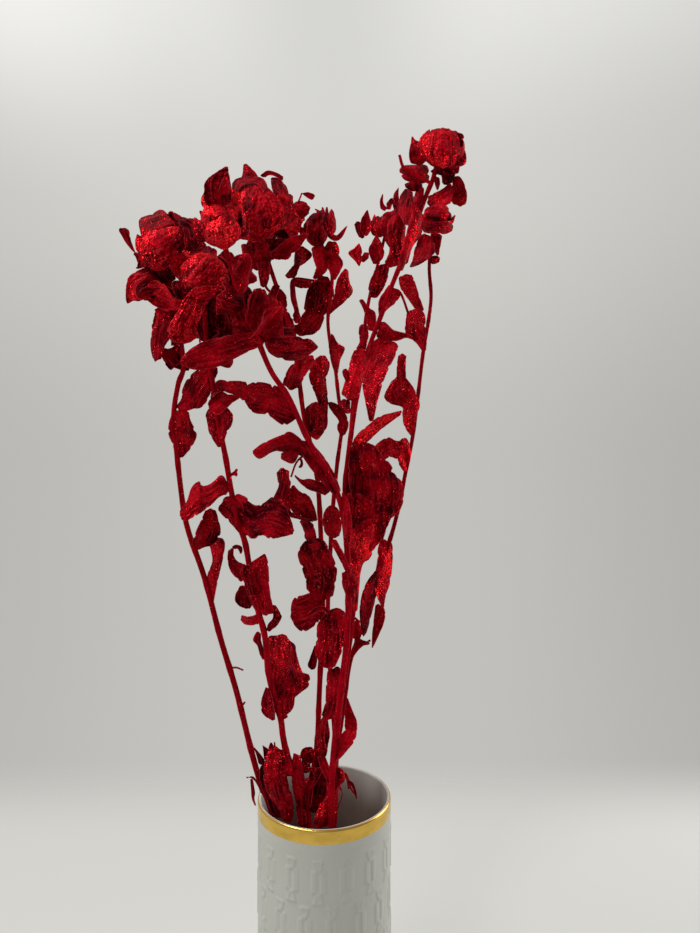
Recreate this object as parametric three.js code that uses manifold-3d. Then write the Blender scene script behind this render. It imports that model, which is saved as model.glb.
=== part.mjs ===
// Dried safflower stems, dyed crimson, standing in a slim white bisque vase with a gilded rim.
// Millimetres, +Z up. The origin is the centre of the vase's flat foot, and -Y is the front.
import * as THREE from "three";
import { mergeVertices } from "three/addons/utils/BufferGeometryUtils.js";
import Module from "manifold-3d";

const wasm = await Module();
wasm.setup();

// Driving dimensions of the vase.
const VASE = {
  height: 200,
  radius: 37.5,
  wall: 2.2,
  floor: 5,
  footBevel: 1.5,
  floorFillet: 3,
  sides: 40,
};
const LIP_STEPS = 4; // straight steps in the half round of the lip

// Stems and leaves are laid out on the upright plane through the vase's axis, as an eye in front
// of the vase sees them: x to the right and z up. A depth then moves each point along its line
// of sight, away from the eye where it is positive.
const EYE = new THREE.Vector3(14.5, -368, 385.5);

const SEAT_GAP = 0.3; // clearance between two pieces that rest on each other
const BLADE = 0.7; // thickness of a leaf or bract
const LEAF_STEPS = 4; // spans along a wide leaf
const SMALL_LEAF = 14.5; // width under which a leaf has a span less
const NARROW_LEAF = 10.5; // width under which a leaf has no fold along its middle
const BRACT_STEPS = 3; // spans along a bract of a flower head
const BRACT_ROLL = 17; // degrees that each bract is turned on its middle line, to overlap like tiles
const CORE = 0.72; // radius of a head's core, as a share of the head's own
const ROOT = 0.45; // the same for the start of a bract, sunk in the core
const STEM_SIDES = 5;
const TWIG_SIDES = 4;
const LEAF_REACH = 0.8; // furthest a leaf's tip lies to the front or back, as a share of its length
const LEAF_TURN = 38; // furthest a leaf's face turns from the eye, in degrees
const EDGE_CUT = 0.13; // how far the notches of a leaf's edge reach in, as a share of its half width
const DEGREE = Math.PI / 180;

// A number from 0 to 1 that looks random and is the same on every run.
function scatter(seed) {
  const raised = Math.sin(seed * 12.9898) * 43758.5453;
  return raised - Math.floor(raised);
}

// A point of the layout plane, moved to its depth along the line of sight.
function sight(x, z, depth) {
  const onPlane = new THREE.Vector3(x, 0, z);
  return onPlane
    .sub(EYE)
    .multiplyScalar(1 - depth / EYE.y)
    .add(EYE);
}

// A smooth curve through points.
function smoothCurve(points) {
  return new THREE.CatmullRomCurve3(points, false, "catmullrom", 0.5);
}

// The point of a stem's middle line at a height of the layout plane. points run upwards.
function pointAtHeight(points, height) {
  const seen = (point) => EYE.z + ((point.z - EYE.z) * -EYE.y) / (point.y - EYE.y);
  const above = points.findIndex((point) => seen(point) > height);
  const [low, high] = [points[above - 1], points[above]];
  return low.clone().lerp(high, (height - seen(low)) / (seen(high) - seen(low)));
}

// A closed geometry as a solid that can be joined and cut.
function solidOf(geometry) {
  const bare = new THREE.BufferGeometry()
    .setAttribute("position", geometry.getAttribute("position"))
    .setIndex(geometry.index);
  const merged = mergeVertices(bare, 1e-4);
  return new wasm.Manifold(
    new wasm.Mesh({
      numProp: 3,
      vertProperties: merged.attributes.position.array,
      triVerts: new Uint32Array(merged.index.array),
    }),
  );
}

// A solid back as a geometry that three.js can draw.
function geometryOf(solid) {
  const mesh = solid.getMesh();
  return new THREE.BufferGeometry()
    .setAttribute("position", new THREE.BufferAttribute(mesh.vertProperties, 3))
    .setIndex(new THREE.BufferAttribute(mesh.triVerts, 1));
}

// A closed geometry from a list of points and a list of triangles.
function closedGeometry(points, triangles) {
  const flat = new Float32Array(points.flatMap((p) => [p.x, p.y, p.z]));
  return new THREE.BufferGeometry()
    .setAttribute("position", new THREE.BufferAttribute(flat, 3))
    .setIndex(triangles);
}

// A tapering bar along a line of points, closed at both ends.
function bar(points, startRadius, endRadius, sides) {
  const last = points.length - 1;
  const rings = [];
  const triangles = [];
  const across = new THREE.Vector3(0, 1, 0);
  points.forEach((point, i) => {
    const along = points[Math.min(i + 1, last)].clone().sub(points[Math.max(i - 1, 0)]).normalize();
    across.addScaledVector(along, -across.dot(along)).normalize();
    const radius = startRadius + ((endRadius - startRadius) * i) / last;
    for (let k = 0; k < sides; k++) {
      const spoke = across.clone().applyAxisAngle(along, (2 * Math.PI * k) / sides);
      rings.push(spoke.multiplyScalar(radius).add(point));
    }
  });
  for (let i = 0; i < last; i++)
    for (let k = 0; k < sides; k++) {
      const [a, b] = [i * sides + k, i * sides + ((k + 1) % sides)];
      triangles.push(a, b, b + sides, a, b + sides, a + sides);
    }
  const top = last * sides;
  for (let k = 1; k < sides - 1; k++) {
    triangles.push(0, k + 1, k);
    triangles.push(top, top + k, top + k + 1);
  }
  return solidOf(closedGeometry(rings, triangles));
}

// The half width of a blade at a share of its length, as a share of its greatest half width:
// narrow at the foot, widest at the peak and pointed at the tip.
function outline(share, peak) {
  const eased = share ** (Math.log(0.5) / Math.log(peak));
  const foot = 0.16 * (1 - share);
  return Math.max(Math.sin(Math.PI * eased) ** 0.62, foot, 0.06);
}

// A grid of points given the blade's thickness, half to each side, as a closed solid. Both faces
// are split along the same diagonals, so a waved blade never cuts through itself.
function thickened(rows) {
  const last = rows.length - 1;
  const edge = rows[0].length - 1;
  const upper = [];
  const lower = [];
  for (let i = 0; i <= last; i++)
    for (let j = 0; j <= edge; j++) {
      const along = rows[Math.min(i + 1, last)][j].clone().sub(rows[Math.max(i - 1, 0)][j]);
      const across = rows[i][Math.min(j + 1, edge)].clone().sub(rows[i][Math.max(j - 1, 0)]);
      const normal = new THREE.Vector3().crossVectors(across, along).normalize();
      upper.push(rows[i][j].clone().addScaledVector(normal, BLADE / 2));
      lower.push(rows[i][j].clone().addScaledVector(normal, -BLADE / 2));
    }
  const row = edge + 1;
  const below = upper.length;
  const triangles = [];
  const quad = (a, b, c, d) => triangles.push(a, b, c, a, c, d);
  for (let i = 0; i < last; i++)
    for (let j = 0; j < edge; j++) {
      const a = i * row + j;
      const [b, c, d] = [a + 1, a + 1 + row, a + row];
      quad(a, b, c, d);
      triangles.push(a + below, c + below, b + below, a + below, d + below, c + below);
    }
  for (let i = 0; i < last; i++) {
    const [a, d] = [i * row, (i + 1) * row];
    quad(a, d, d + below, a + below);
    quad(a + edge + below, d + edge + below, d + edge, a + edge);
  }
  for (let j = 0; j < edge; j++) {
    const top = last * row + j;
    quad(j + below, j + 1 + below, j + 1, j);
    quad(top, top + 1, top + 1 + below, top + below);
  }
  return solidOf(closedGeometry([...upper, ...lower], triangles));
}

// A thin blade. spine(s) is its middle line and facing(s) the way its upper face looks, for s
// from 0 at the root to 1 at the tip. fold bends its two halves up along the middle line, wave
// ripples its edges up and down, and the notches of its edges are cut by the seed.
function blade(spine, facing, shape, steps, sides = [-1, 0, 1]) {
  const { width, peak = 0.42, fold = 0, wave = width * 0.07, seed = 1 } = shape;
  const rows = [];
  for (let i = 0; i <= steps; i++) {
    const s = i / steps;
    const along = spine(Math.min(1, s + 0.02)).sub(spine(Math.max(0, s - 0.02)));
    const face = facing(s);
    face.addScaledVector(along, -face.dot(along) / along.lengthSq()).normalize();
    const across = new THREE.Vector3().crossVectors(along, face).normalize();
    const inner = Math.sin(Math.PI * s);
    rows.push(
      sides.map((side) => {
        const notch = EDGE_CUT * inner * (2 * scatter(seed + i * 7 + side * 3) - 1);
        const half = (outline(s, peak) * width * (1 + notch)) / 2;
        const ripple = inner * Math.sin(9 * s + seed + 1.4 * side);
        const out = side * half * Math.cos(fold * DEGREE);
        const up = Math.abs(side) * (half * Math.sin(fold * DEGREE) + wave * ripple);
        return spine(s).addScaledVector(across, out).addScaledVector(face, up);
      }),
    );
  }
  return thickened(rows);
}

// A leaf along a route of points. Its upper face looks at the eye, turned about the leaf's own
// length by face degrees at the root and by face and twist together at the tip. Its width is
// the one that shows from the eye.
function leafBlade(route, style) {
  const { face = 0, twist = 0, width } = style;
  const curve = smoothCurve(route);
  const toEye = EYE.clone().sub(route[0]).normalize();
  const facing = (s) => {
    const along = curve.getTangent(s);
    const across = new THREE.Vector3().crossVectors(along, toEye).normalize();
    across.applyAxisAngle(along, (face + twist * s) * DEGREE);
    return new THREE.Vector3().crossVectors(across, along);
  };
  const steps = width < SMALL_LEAF ? LEAF_STEPS - 1 : LEAF_STEPS;
  const sides = width < NARROW_LEAF ? [-1, 1] : [-1, 0, 1];
  const shape = { ...style, width: width / Math.cos(face * DEGREE) };
  return blade((s) => curve.getPoint(s), facing, shape, steps, sides);
}

// The leaves of a stem. Each row gives where the leaf grows, the points its middle line passes
// through, its width and its style. It grows at a height of the stem or, where it grows from
// another leaf, at a point. Depths are counted from the stem's own depth at that height. Each
// leaf also reaches to the front or the back and turns its face by a seeded rule, unless its
// style says by how much.
function leaves(stemLine, rows) {
  return rows.map(([from, route, width, style = {}], i) => {
    const height = Array.isArray(from) ? from[1] : from;
    const root = pointAtHeight(stemLine, height);
    const start = Array.isArray(from) ? sight(from[0], from[1], root.y + from[2]) : root;
    const [tipX, tipZ] = route[route.length - 1];
    const length = Math.hypot(tipX - start.x, tipZ - height);
    const {
      reach = LEAF_REACH * length * (2 * scatter(height + i) - 1),
      face = LEAF_TURN * (2 * scatter(height + i * 2.3 + 5) - 1),
    } = style;
    const points = route.map(([x, z, depth], k) => {
      const share = ((k + 1) / route.length) ** 1.5;
      return sight(x, z, root.y + depth + reach * share);
    });
    return leafBlade([start, ...points], { width, seed: i * 3.7 + 1, ...style, face });
  });
}

// The thin twigs of a stem, each from a height of the stem through points, with its radius.
function twigs(stemLine, rows) {
  return rows.map(([height, route, radius]) => {
    const root = pointAtHeight(stemLine, height);
    const points = route.map(([x, z, depth]) => sight(x, z, root.y + depth));
    return bar([root, ...points], radius, radius * 0.8, TWIG_SIDES);
  });
}

// A stem from its foot on the vase's floor through points of the layout plane, with its leaves,
// twigs and side branches, as one solid.
function leafyStem({ foot, route, radii, leafRows, twigRows = [], branches = [] }) {
  const start = new THREE.Vector3(foot[0], foot[1], VASE.floor);
  const stemLine = [start, ...route.map((point) => sight(...point))];
  const solids = shoot(stemLine, radii, leafRows, twigRows);
  for (const branch of branches) {
    const root = pointAtHeight(stemLine, branch.height);
    const line = [root, ...branch.route.map((point) => sight(...point))];
    solids.push(...shoot(line, branch.radii, branch.leafRows, branch.twigRows ?? []));
  }
  return flatFoot(wasm.Manifold.union(solids));
}

// The bar of a stem or branch, with its leaves and twigs.
function shoot(line, radii, leafRows, twigRows) {
  return [bar(line, radii[0], radii[1], STEM_SIDES), ...leaves(line, leafRows), ...twigs(line, twigRows)];
}

// A stem's foot cut level, just above the vase's floor.
function flatFoot(solid) {
  const slab = new THREE.BoxGeometry(4 * VASE.radius, 4 * VASE.radius, 2 * VASE.floor);
  return solid.subtract(solidOf(slab).translate([0, 0, SEAT_GAP]));
}

// A flower head on its neck. Rings of bracts wrap a core from below, overlapping like tiles, and
// loose bracts stand off it as leaves do. lean tips its axis to the right and tilt to the eye.
function head({ neck, at, radius, lean = 0, tilt = 0, rings, loose = [] }) {
  const centre = sight(...at);
  const up = new THREE.Vector3(0, 0, 1)
    .applyAxisAngle(new THREE.Vector3(1, 0, 0), tilt * DEGREE)
    .applyAxisAngle(new THREE.Vector3(0, 1, 0), lean * DEGREE);
  const side = new THREE.Vector3().crossVectors(new THREE.Vector3(0, 1, 0), up).normalize();
  const core = solidOf(new THREE.IcosahedronGeometry(radius * CORE, 0));
  const base = centre.clone().addScaledVector(up, -radius * 0.5);
  const solids = [
    core.translate([centre.x, centre.y, centre.z]),
    bar([neck.point, base], neck.radius, neck.radius * 1.3, STEM_SIDES),
  ];
  for (const { count, from, to, open, turn, width, rise = 1 } of rings)
    for (let k = 0; k < count; k++) {
      const azimuth = ((360 * k) / count + turn) * DEGREE;
      const outwards = side.clone().applyAxisAngle(up, azimuth);
      const direction = (s) => {
        const polar = (from + (to - from) * s) * DEGREE;
        const axial = up.clone().multiplyScalar(-Math.cos(polar));
        return axial.addScaledVector(outwards, Math.sin(polar));
      };
      const reach = (s) => radius * (ROOT + (rise - ROOT) * Math.min(1, 3 * s) + open * s * s);
      const spine = (s) => direction(s).multiplyScalar(reach(s)).add(centre);
      const facing = (s) => {
        const along = direction(s + 0.02).sub(direction(s)).normalize();
        return direction(s).applyAxisAngle(along, BRACT_ROLL * DEGREE);
      };
      const shape = { width: radius * width, peak: 0.55, fold: -24, wave: radius * 0.05, seed: k + turn };
      solids.push(blade(spine, facing, shape, BRACT_STEPS, [-1, 1]));
    }
  loose.forEach(([route, width, style = {}], i) => {
    const points = route.map(([x, z, depth]) => sight(x, z, at[2] + depth));
    const root = points[0].clone().sub(centre).setLength(radius * ROOT).add(centre);
    solids.push(leafBlade([root, ...points], { width, seed: i * 5.3 + 2, ...style }));
  });
  return wasm.Manifold.union(solids);
}

// The vase: a straight wall on a thick floor, with a bevelled foot and a rounded lip.
function vase() {
  const { height, radius, wall, floor, footBevel, floorFillet, sides } = VASE;
  const inner = radius - wall;
  const profile = [
    new THREE.Vector2(0, 0),
    new THREE.Vector2(radius - footBevel, 0),
    new THREE.Vector2(radius, footBevel),
  ];
  for (let i = 0; i <= LIP_STEPS; i++) {
    const angle = (Math.PI * i) / LIP_STEPS;
    const out = (Math.cos(angle) * wall) / 2;
    const up = (Math.sin(angle) * wall) / 2;
    profile.push(new THREE.Vector2(radius - wall / 2 + out, height - wall / 2 + up));
  }
  profile.push(new THREE.Vector2(inner, floor + floorFillet));
  profile.push(new THREE.Vector2(inner - floorFillet, floor));
  profile.push(new THREE.Vector2(0, floor));
  const lathe = new THREE.LatheGeometry(profile, sides);
  return solidOf(lathe.rotateX(Math.PI / 2));
}

// The stems. Each route runs upwards from the mouth of the vase.
const STEMS = {
  stem_far_left: {
    foot: [28, 12],
    route: [
      [-30, 190, -10], [-35, 202, -10.5], [-41, 222, -11], [-50, 258, -12.5], [-59, 288, -14],
      [-68, 322, -16], [-77, 348, -17.5], [-80.5, 365, -18.5], [-84, 395, -20.5], [-85.5, 415, -21],
      [-83, 432, -20], [-80, 442, -19.5], [-82, 460, -19], [-86, 478, -18.5], [-87.5, 490, -17.5],
    ],
    radii: [1.7, 1.2],
    leafRows: [
      [388, [[-81, 404, 3], [-80, 421, 5]], 17, { fold: -16 }],
      [310, [[-61, 322, -1], [-59, 336, -2], [-61, 345, -3], [-66, 343, -4]], 7.5, { fold: 20 }],
      [334, [[-68, 347, -2], [-64, 362, -2]], 12, { fold: 22, face: 12 }],
      [477, [[-92, 464, -2], [-96, 445, -3]], 13, { fold: 18, face: -15 }],
      [444, [[-86, 446, 5], [-94, 453, 7]], 12, { fold: 30 }],
      [483, [[-86, 478, -6], [-96, 483, -9], [-106, 482, -7]], 16, { face: -30, fold: 10 }],
      [486, [[-98, 492, -2], [-107, 489, 0], [-112, 478, 2]], 14, { fold: -25, face: 20 }],
      [478, [[-79, 470, 8], [-73, 458, 12]], 16, { fold: 14 }],
    ],
    twigRows: [
      [271, [[-50, 271.5, 0], [-46, 270, 1]], 0.6],
      [247, [[-46.5, 250, 0.5], [-45, 252, 1]], 0.7],
    ],
  },
  stem_left: {
    foot: [20, -10],
    route: [
      [-12, 203, -16], [-17, 213, -16], [-21, 221, -16.5], [-23.5, 232, -17.5], [-25, 243, -17.5],
      [-29, 256, -19], [-32, 270, -20.5], [-34, 290, -22], [-38, 305, -23.5], [-42, 325, -25],
      [-45, 342, -26.5], [-49, 354, -28], [-53, 372, -30], [-56, 390, -31.5], [-60, 410, -33],
      [-63, 430, -35], [-66, 450, -36], [-67.5, 464, -36.5], [-68, 475, -37],
    ],
    radii: [1.8, 1.3],
    leafRows: [
      [441, [[-71, 433, -4], [-80, 419, -5]], 18, { fold: 12 }],
      [396, [[-60, 410, -2], [-60, 426, -4]], 14, { fold: 28 }],
      [429, [[-56, 426, -6], [-43, 428, -7]], 13, { face: 35, fold: 16 }],
      [371, [[-66, 371, -4], [-74, 366, -5], [-82, 357, -4]], 14, { face: 20, fold: 12 }],
      [371, [[-55, 361, -4], [-50, 351, -4]], 15, { fold: -14 }],
      [358, [[-38, 358, -1], [-27, 354, 3], [-18, 350, 6]], 19, { fold: 14, face: -15 }],
      [329, [[-50, 327, 0], [-53, 335, 1], [-50, 341, 2], [-47.5, 337, 3]], 5, { fold: 12 }],
      [296, [[-35, 312, -3], [-35, 325, -4], [-34, 337, -3]], 14, { fold: 24 }],
      [303, [[-44, 308, 1], [-47, 320, 3]], 12, { fold: -12 }],
      [300, [[-41, 300, -2], [-48, 299, -2]], 5, { fold: 25 }],
      [293, [[-28, 299, 3], [-27, 309, 4]], 8, { fold: 18, face: -20 }],
      [244, [[-19, 264, -2], [-23, 292, -3]], 24, { fold: 12, peak: 0.5 }],
      [282, [[-38, 287, 2], [-39, 293, 3]], 6, {}],
      [238, [[-33, 248, 2], [-32, 262, 3]], 9, { fold: 20, face: 15 }],
      [214, [[-26, 218, -3], [-30, 227, -3]], 9, { fold: 20 }],
      [212, [[-27, 206, -4], [-24, 195, -2], [-19, 186, 1]], 12, { fold: 24 }],
      [210, [[-30, 212, 1], [-35, 224, 2]], 6, { fold: 15 }],
      [204, [[-12, 210, 3], [-9, 225, 5]], 8, { fold: 20 }],
      [448, [[-56, 456, 6], [-47, 470, 9]], 17, { fold: 16, reach: 4 }],
      [462, [[-76, 464, 7], [-87, 454, 10]], 16, { fold: -14, reach: 5 }],
    ],
    twigRows: [
      [380, [[-51, 382, 0], [-49.5, 384, 0]], 0.9],
      [242, [[-22, 243.5, 0], [-21, 244, 0]], 0.9],
    ],
  },
  stem_front: {
    foot: [10, -22],
    route: [
      [4, 180, -25], [4, 200, -25.5], [5, 220, -26], [7, 240, -28], [9.5, 260, -29.5],
      [13, 290, -32.5], [13.5, 312, -35.5], [13, 335, -38.5], [11, 356, -41], [7, 371, -43.5],
      [0, 385, -45.5], [-10, 402, -48], [-20, 424, -52], [-30, 439, -54.5], [-37, 455, -57],
      [-43, 470, -58.5], [-50, 488, -60.5], [-54, 502, -61.5],
    ],
    radii: [1.8, 1.2],
    leafRows: [
      [454, [[-50, 456, -4], [-66, 450, -5], [-80, 441, -4]], 17, { face: 20, fold: 12, reach: -9 }],
      [451, [[-52, 446, 3], [-68, 444, 3]], 12, { face: -30, fold: 10, reach: -3 }],
      [453, [[-24, 455, -2], [-10, 453, -1], [1, 457, 2]], 15, { face: 20, fold: 10 }],
      [413, [[-27, 418, -4], [-36, 425, -5], [-45, 430, -3]], 18, { fold: 14 }],
      [398, [[-21, 403, -3], [-31, 397, -4], [-41, 393, -3]], 10, { face: 25, fold: 18 }],
      [400, [[-18, 397, 2], [-20, 387, 4]], 8, { fold: 10 }],
      [322, [[5, 334, -2], [-2, 346, -2]], 5, { fold: 20 }],
      [330, [[13.5, 350, -3], [9, 372, -3]], 6, { fold: 25 }],
      [371, [[-3, 374, 2], [-17, 380, 4]], 8, { face: 35, fold: 15 }],
      [218, [[15, 236, 2], [13, 254, 3]], 8, { fold: 22, face: -20 }],
      [462, [[-36, 474, -4], [-34, 486, -5]], 18, { fold: 26 }],
      [464, [[-46, 476, -5], [-44, 488, -8]], 19, { fold: -26 }],
      [458, [[-34, 464, -4], [-24, 476, -4]], 16, { fold: 22 }],
      [476, [[-53, 478, -9], [-61, 481, -13]], 16, { fold: -24, reach: -6 }],
      [492, [[-48, 497, 2], [-43, 506, 4]], 12, { fold: 20 }],
      [488, [[-45, 493, -2], [-42, 504, -1]], 10, { fold: 15 }],
    ],
    twigRows: [[395, [[-14, 391, 1], [-19, 380, 2]], 0.6]],
  },
  stem_middle: {
    foot: [-22, 0],
    route: [
      [-10.5, 190, 4], [-9, 204, 4], [-6, 213, 4], [-4, 230, 4.5], [-3, 255, 6.5], [-1.5, 290, 9],
      [-1, 312, 11], [-2, 345, 13], [-4, 378, 15], [-8, 398, 16], [-12, 416, 16.5], [-15, 440, 19],
      [-18, 458, 21], [-24, 478, 24], [-31, 499, 27.5], [-34, 509, 29.5],
    ],
    radii: [1.7, 1.3],
    leafRows: [
      [198, [[-8, 204, -2], [-1, 213, -2]], 6, { fold: 20 }],
      [212, [[-1, 228, -3], [1, 245, -3]], 8, { fold: 24 }],
      [296, [[-8, 306, -10], [-5, 325, -15], [-6, 345, -17]], 20, { fold: 12, reach: 0, peak: 0.58 }],
      [338, [[-9, 346, 2], [-13, 356, 2]], 7, { fold: 20 }],
      [352, [[-12, 356, -4], [-22, 362, -6], [-23, 385, -6]], 22, { fold: 18 }],
      [303, [[-9, 305, -7], [-19, 301, -6]], 17, { fold: -10, peak: 0.55 }],
      [281, [[-7, 276, 0], [-10, 270, 0]], 5, {}],
      [398, [[-6, 411, -3], [1, 425, -4]], 16, { fold: 16, face: -15, reach: 0 }],
      [[0, 421, -4], [[2, 437, -8], [-3, 448, -7]], 9, { fold: 22, reach: -6 }],
      [414, [[-19, 430, -4], [-13, 447, -4]], 16, { fold: -16 }],
      [462, [[-25, 467, 4], [-34, 466, 6]], 14, { fold: 15 }],
      [487, [[-29, 477, 4], [-36, 465, 7]], 13, { fold: 24 }],
      [505, [[-22, 508, -3], [-9, 515, -2]], 12, { fold: 14, face: 30 }],
      [500, [[-39, 504, 4], [-47, 511, 6]], 13, { fold: 20 }],
    ],
    twigRows: [[481, [[-33, 487, 3], [-37, 500, 3]], 0.9]],
  },
  stem_inner_right: {
    foot: [-5, -10],
    route: [
      [6, 190, -6], [6, 210, -6], [6, 230, -5], [4, 260, -1.5], [2, 290, 2.5], [2, 309, 5],
      [3, 330, 8], [4.5, 358, 12], [7, 385, 17], [9, 400, 20.5], [10, 410, 22], [8, 425, 25.5],
      [6, 442, 29.5], [3, 457, 33], [2, 470, 36], [4, 484, 39.5], [4, 496, 42.5], [1, 506, 45],
    ],
    radii: [1.5, 1],
    leafRows: [
      [303, [[6, 288, -9], [4, 262, -9]], 13, { fold: 18 }],
      [272, [[5, 258, -7], [2, 243, -6]], 8, { fold: 22 }],
      [345, [[2, 358, -3], [5, 375, -4]], 11, { fold: 14 }],
      [496, [[-4, 480, -4], [-13, 460, -5]], 17, { fold: 14 }],
      [472, [[9, 482, -3], [12, 499, -3]], 13, { fold: 16 }],
      [437, [[7, 447, -2], [4, 461, -2]], 10, { fold: 20 }],
      [410, [[9, 417, -2], [1.5, 422, -2]], 5, {}],
      [402, [[11, 409, -2], [11, 416, -2]], 6.5, { fold: 15 }],
      [505, [[-9, 506, -3], [-16, 498, -4], [-22, 493, -3]], 8, { fold: 20 }],
      [505, [[-4, 502, -3], [-5, 492, -4]], 8.5, { fold: 18 }],
      [503, [[7, 503, -2], [7, 491, -3]], 9, { fold: 18 }],
      [206, [[10, 200, 2], [8, 190, 3]], 7, { fold: 20 }],
      [203, [[-1, 195, -4], [-4, 183, -5]], 7, { fold: 20 }],
    ],
    twigRows: [
      [490, [[-7, 491, -6], [-17, 492, -6], [-19, 487, -6], [-17, 478, -6], [-14, 469, -6]], 0.8],
      [206, [[12, 211, 1], [15, 203, 1], [18, 199, 2]], 0.6],
    ],
  },
  stem_right: {
    foot: [-12, 14],
    route: [
      [5, 190, 4], [5, 200, 4], [6.5, 225, 4], [9, 250, 2], [12.5, 272, 1], [16, 300, -1],
      [17, 315, -3], [16, 328, -3.5], [13.5, 348, -5.5], [11.5, 370, -7.5], [13, 388, -9.5], [16, 410, -11.5],
      [19, 428, -13.5], [25, 452, -17], [31, 468, -19], [37, 485, -21], [43, 500, -22.5], [51, 521, -25],
      [58, 540, -27], [61, 547, -28.5],
    ],
    radii: [1.6, 1.2],
    leafRows: [
      [453, [[19, 446, -5], [17, 436, -5], [13, 425, -4]], 12, { fold: 20 }],
      [459, [[33, 440, -4], [27, 411, -3]], 18, { fold: 20, peak: 0.36 }],
      [460, [[37, 463, -2], [47, 459, -2]], 7, { fold: 20 }],
      [396, [[25, 404, -7], [34, 413, -8], [44, 417, -7]], 9, { fold: 14 }],
      [318, [[22, 352, -5], [25, 398, -6]], 26, { fold: 12, peak: 0.52 }],
      [324, [[30, 350, 3], [38, 388, 6]], 15, { fold: -14, peak: 0.6 }],
      [474, [[35, 481, -2], [38, 491, -2]], 10, { fold: -16 }],
      [489, [[47, 488, -3], [52, 480, -3], [57, 471, -1]], 10, { fold: 16 }],
      [499, [[47, 516, -4], [51, 538, -4]], 9, { fold: 20 }],
      [512, [[46, 526, 3], [46, 543, 4]], 10, { fold: 18 }],
      [537, [[71, 546, 4], [80, 534, 5]], 12, { fold: 14 }],
      [536, [[65, 538, -3], [74, 547, -2]], 10, { fold: 18, face: 15 }],
      [540, [[52, 546, 0], [44, 553, 0]], 11, { fold: -22 }],
      [541, [[54, 551, -4], [47, 558, -6]], 10, { fold: 20, reach: -6 }],
      [536, [[57, 545, 4], [52, 556, 6]], 9, { fold: 22 }],
    ],
    twigRows: [
      [300, [[18, 299, -1], [20, 297, -2]], 0.8],
      [546, [[46, 554, 0], [42.5, 562, 0]], 1],
      [486, [[43, 484, 1], [48, 471, 2]], 0.8],
    ],
    branches: [
      {
        height: 402,
        route: [
          [17, 430, 3.5], [21, 450, 7], [24, 473, 11], [27, 488, 14], [30, 499, 15.5], [33, 511, 17],
        ],
        radii: [1.2, 0.9],
        leafRows: [
          [478, [[30, 490, -2], [36, 503, -3]], 9, { fold: 18 }],
          [466, [[22, 474, 1], [19, 481, 1]], 5, { fold: 18 }],
          [472, [[27, 474, -1], [31, 469, -1]], 5, { fold: 18 }],
          [450, [[21, 458, 1], [21, 467, 1]], 6, { fold: 18 }],
          [448, [[17, 449, 3], [18, 456, 5]], 6, { fold: 18 }],
          [496, [[29, 505, -3], [31, 518, -4]], 9, { fold: 18 }],
          [504, [[38, 510, 1], [41, 520, 2]], 8, { fold: -18 }],
        ],
      },
    ],
  },
  stem_far_right: {
    foot: [-14, 24],
    route: [
      [5, 190, 14], [6, 210, 14], [8, 230, 14.5], [11, 250, 16], [14, 272, 17.5], [18, 285, 18.5],
      [27, 310, 21.5], [35, 337, 24.5], [39, 350, 25.5], [43, 366, 28], [46, 382, 29.5], [50, 402, 32],
      [53, 425, 34.5], [56, 450, 37.5], [59, 468, 39.5], [60.5, 482, 41.5], [59.5, 497, 43],
      [60, 511, 44.5],
    ],
    radii: [1.5, 1.1],
    leafRows: [
      [453, [[52, 462, 2], [50, 475, 2]], 13, { fold: 16 }],
      [401, [[49, 414, -3], [44, 430, -4], [44, 450, -3]], 19, { fold: 16, peak: 0.36 }],
      [381, [[46, 395, -3], [38, 398, -4], [27, 392, -3]], 11, { fold: 18, face: 20 }],
      [343, [[34, 330, -5], [33, 306, -5]], 10, { fold: 18 }],
      [282, [[22, 287, -2], [25, 303, -3], [28, 327, -3]], 13, { fold: -20 }],
      [367, [[39, 372, 2], [33, 386, 3]], 10, { fold: 18 }],
      [508, [[57, 506, -4], [49, 498, -4]], 13, { fold: 18 }],
      [499, [[63, 504, 1], [67, 502, 2]], 6, { fold: 18 }],
    ],
    twigRows: [
      [278, [[20, 283, -1], [26, 287, -2]], 0.8],
    ],
  },
};

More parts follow.
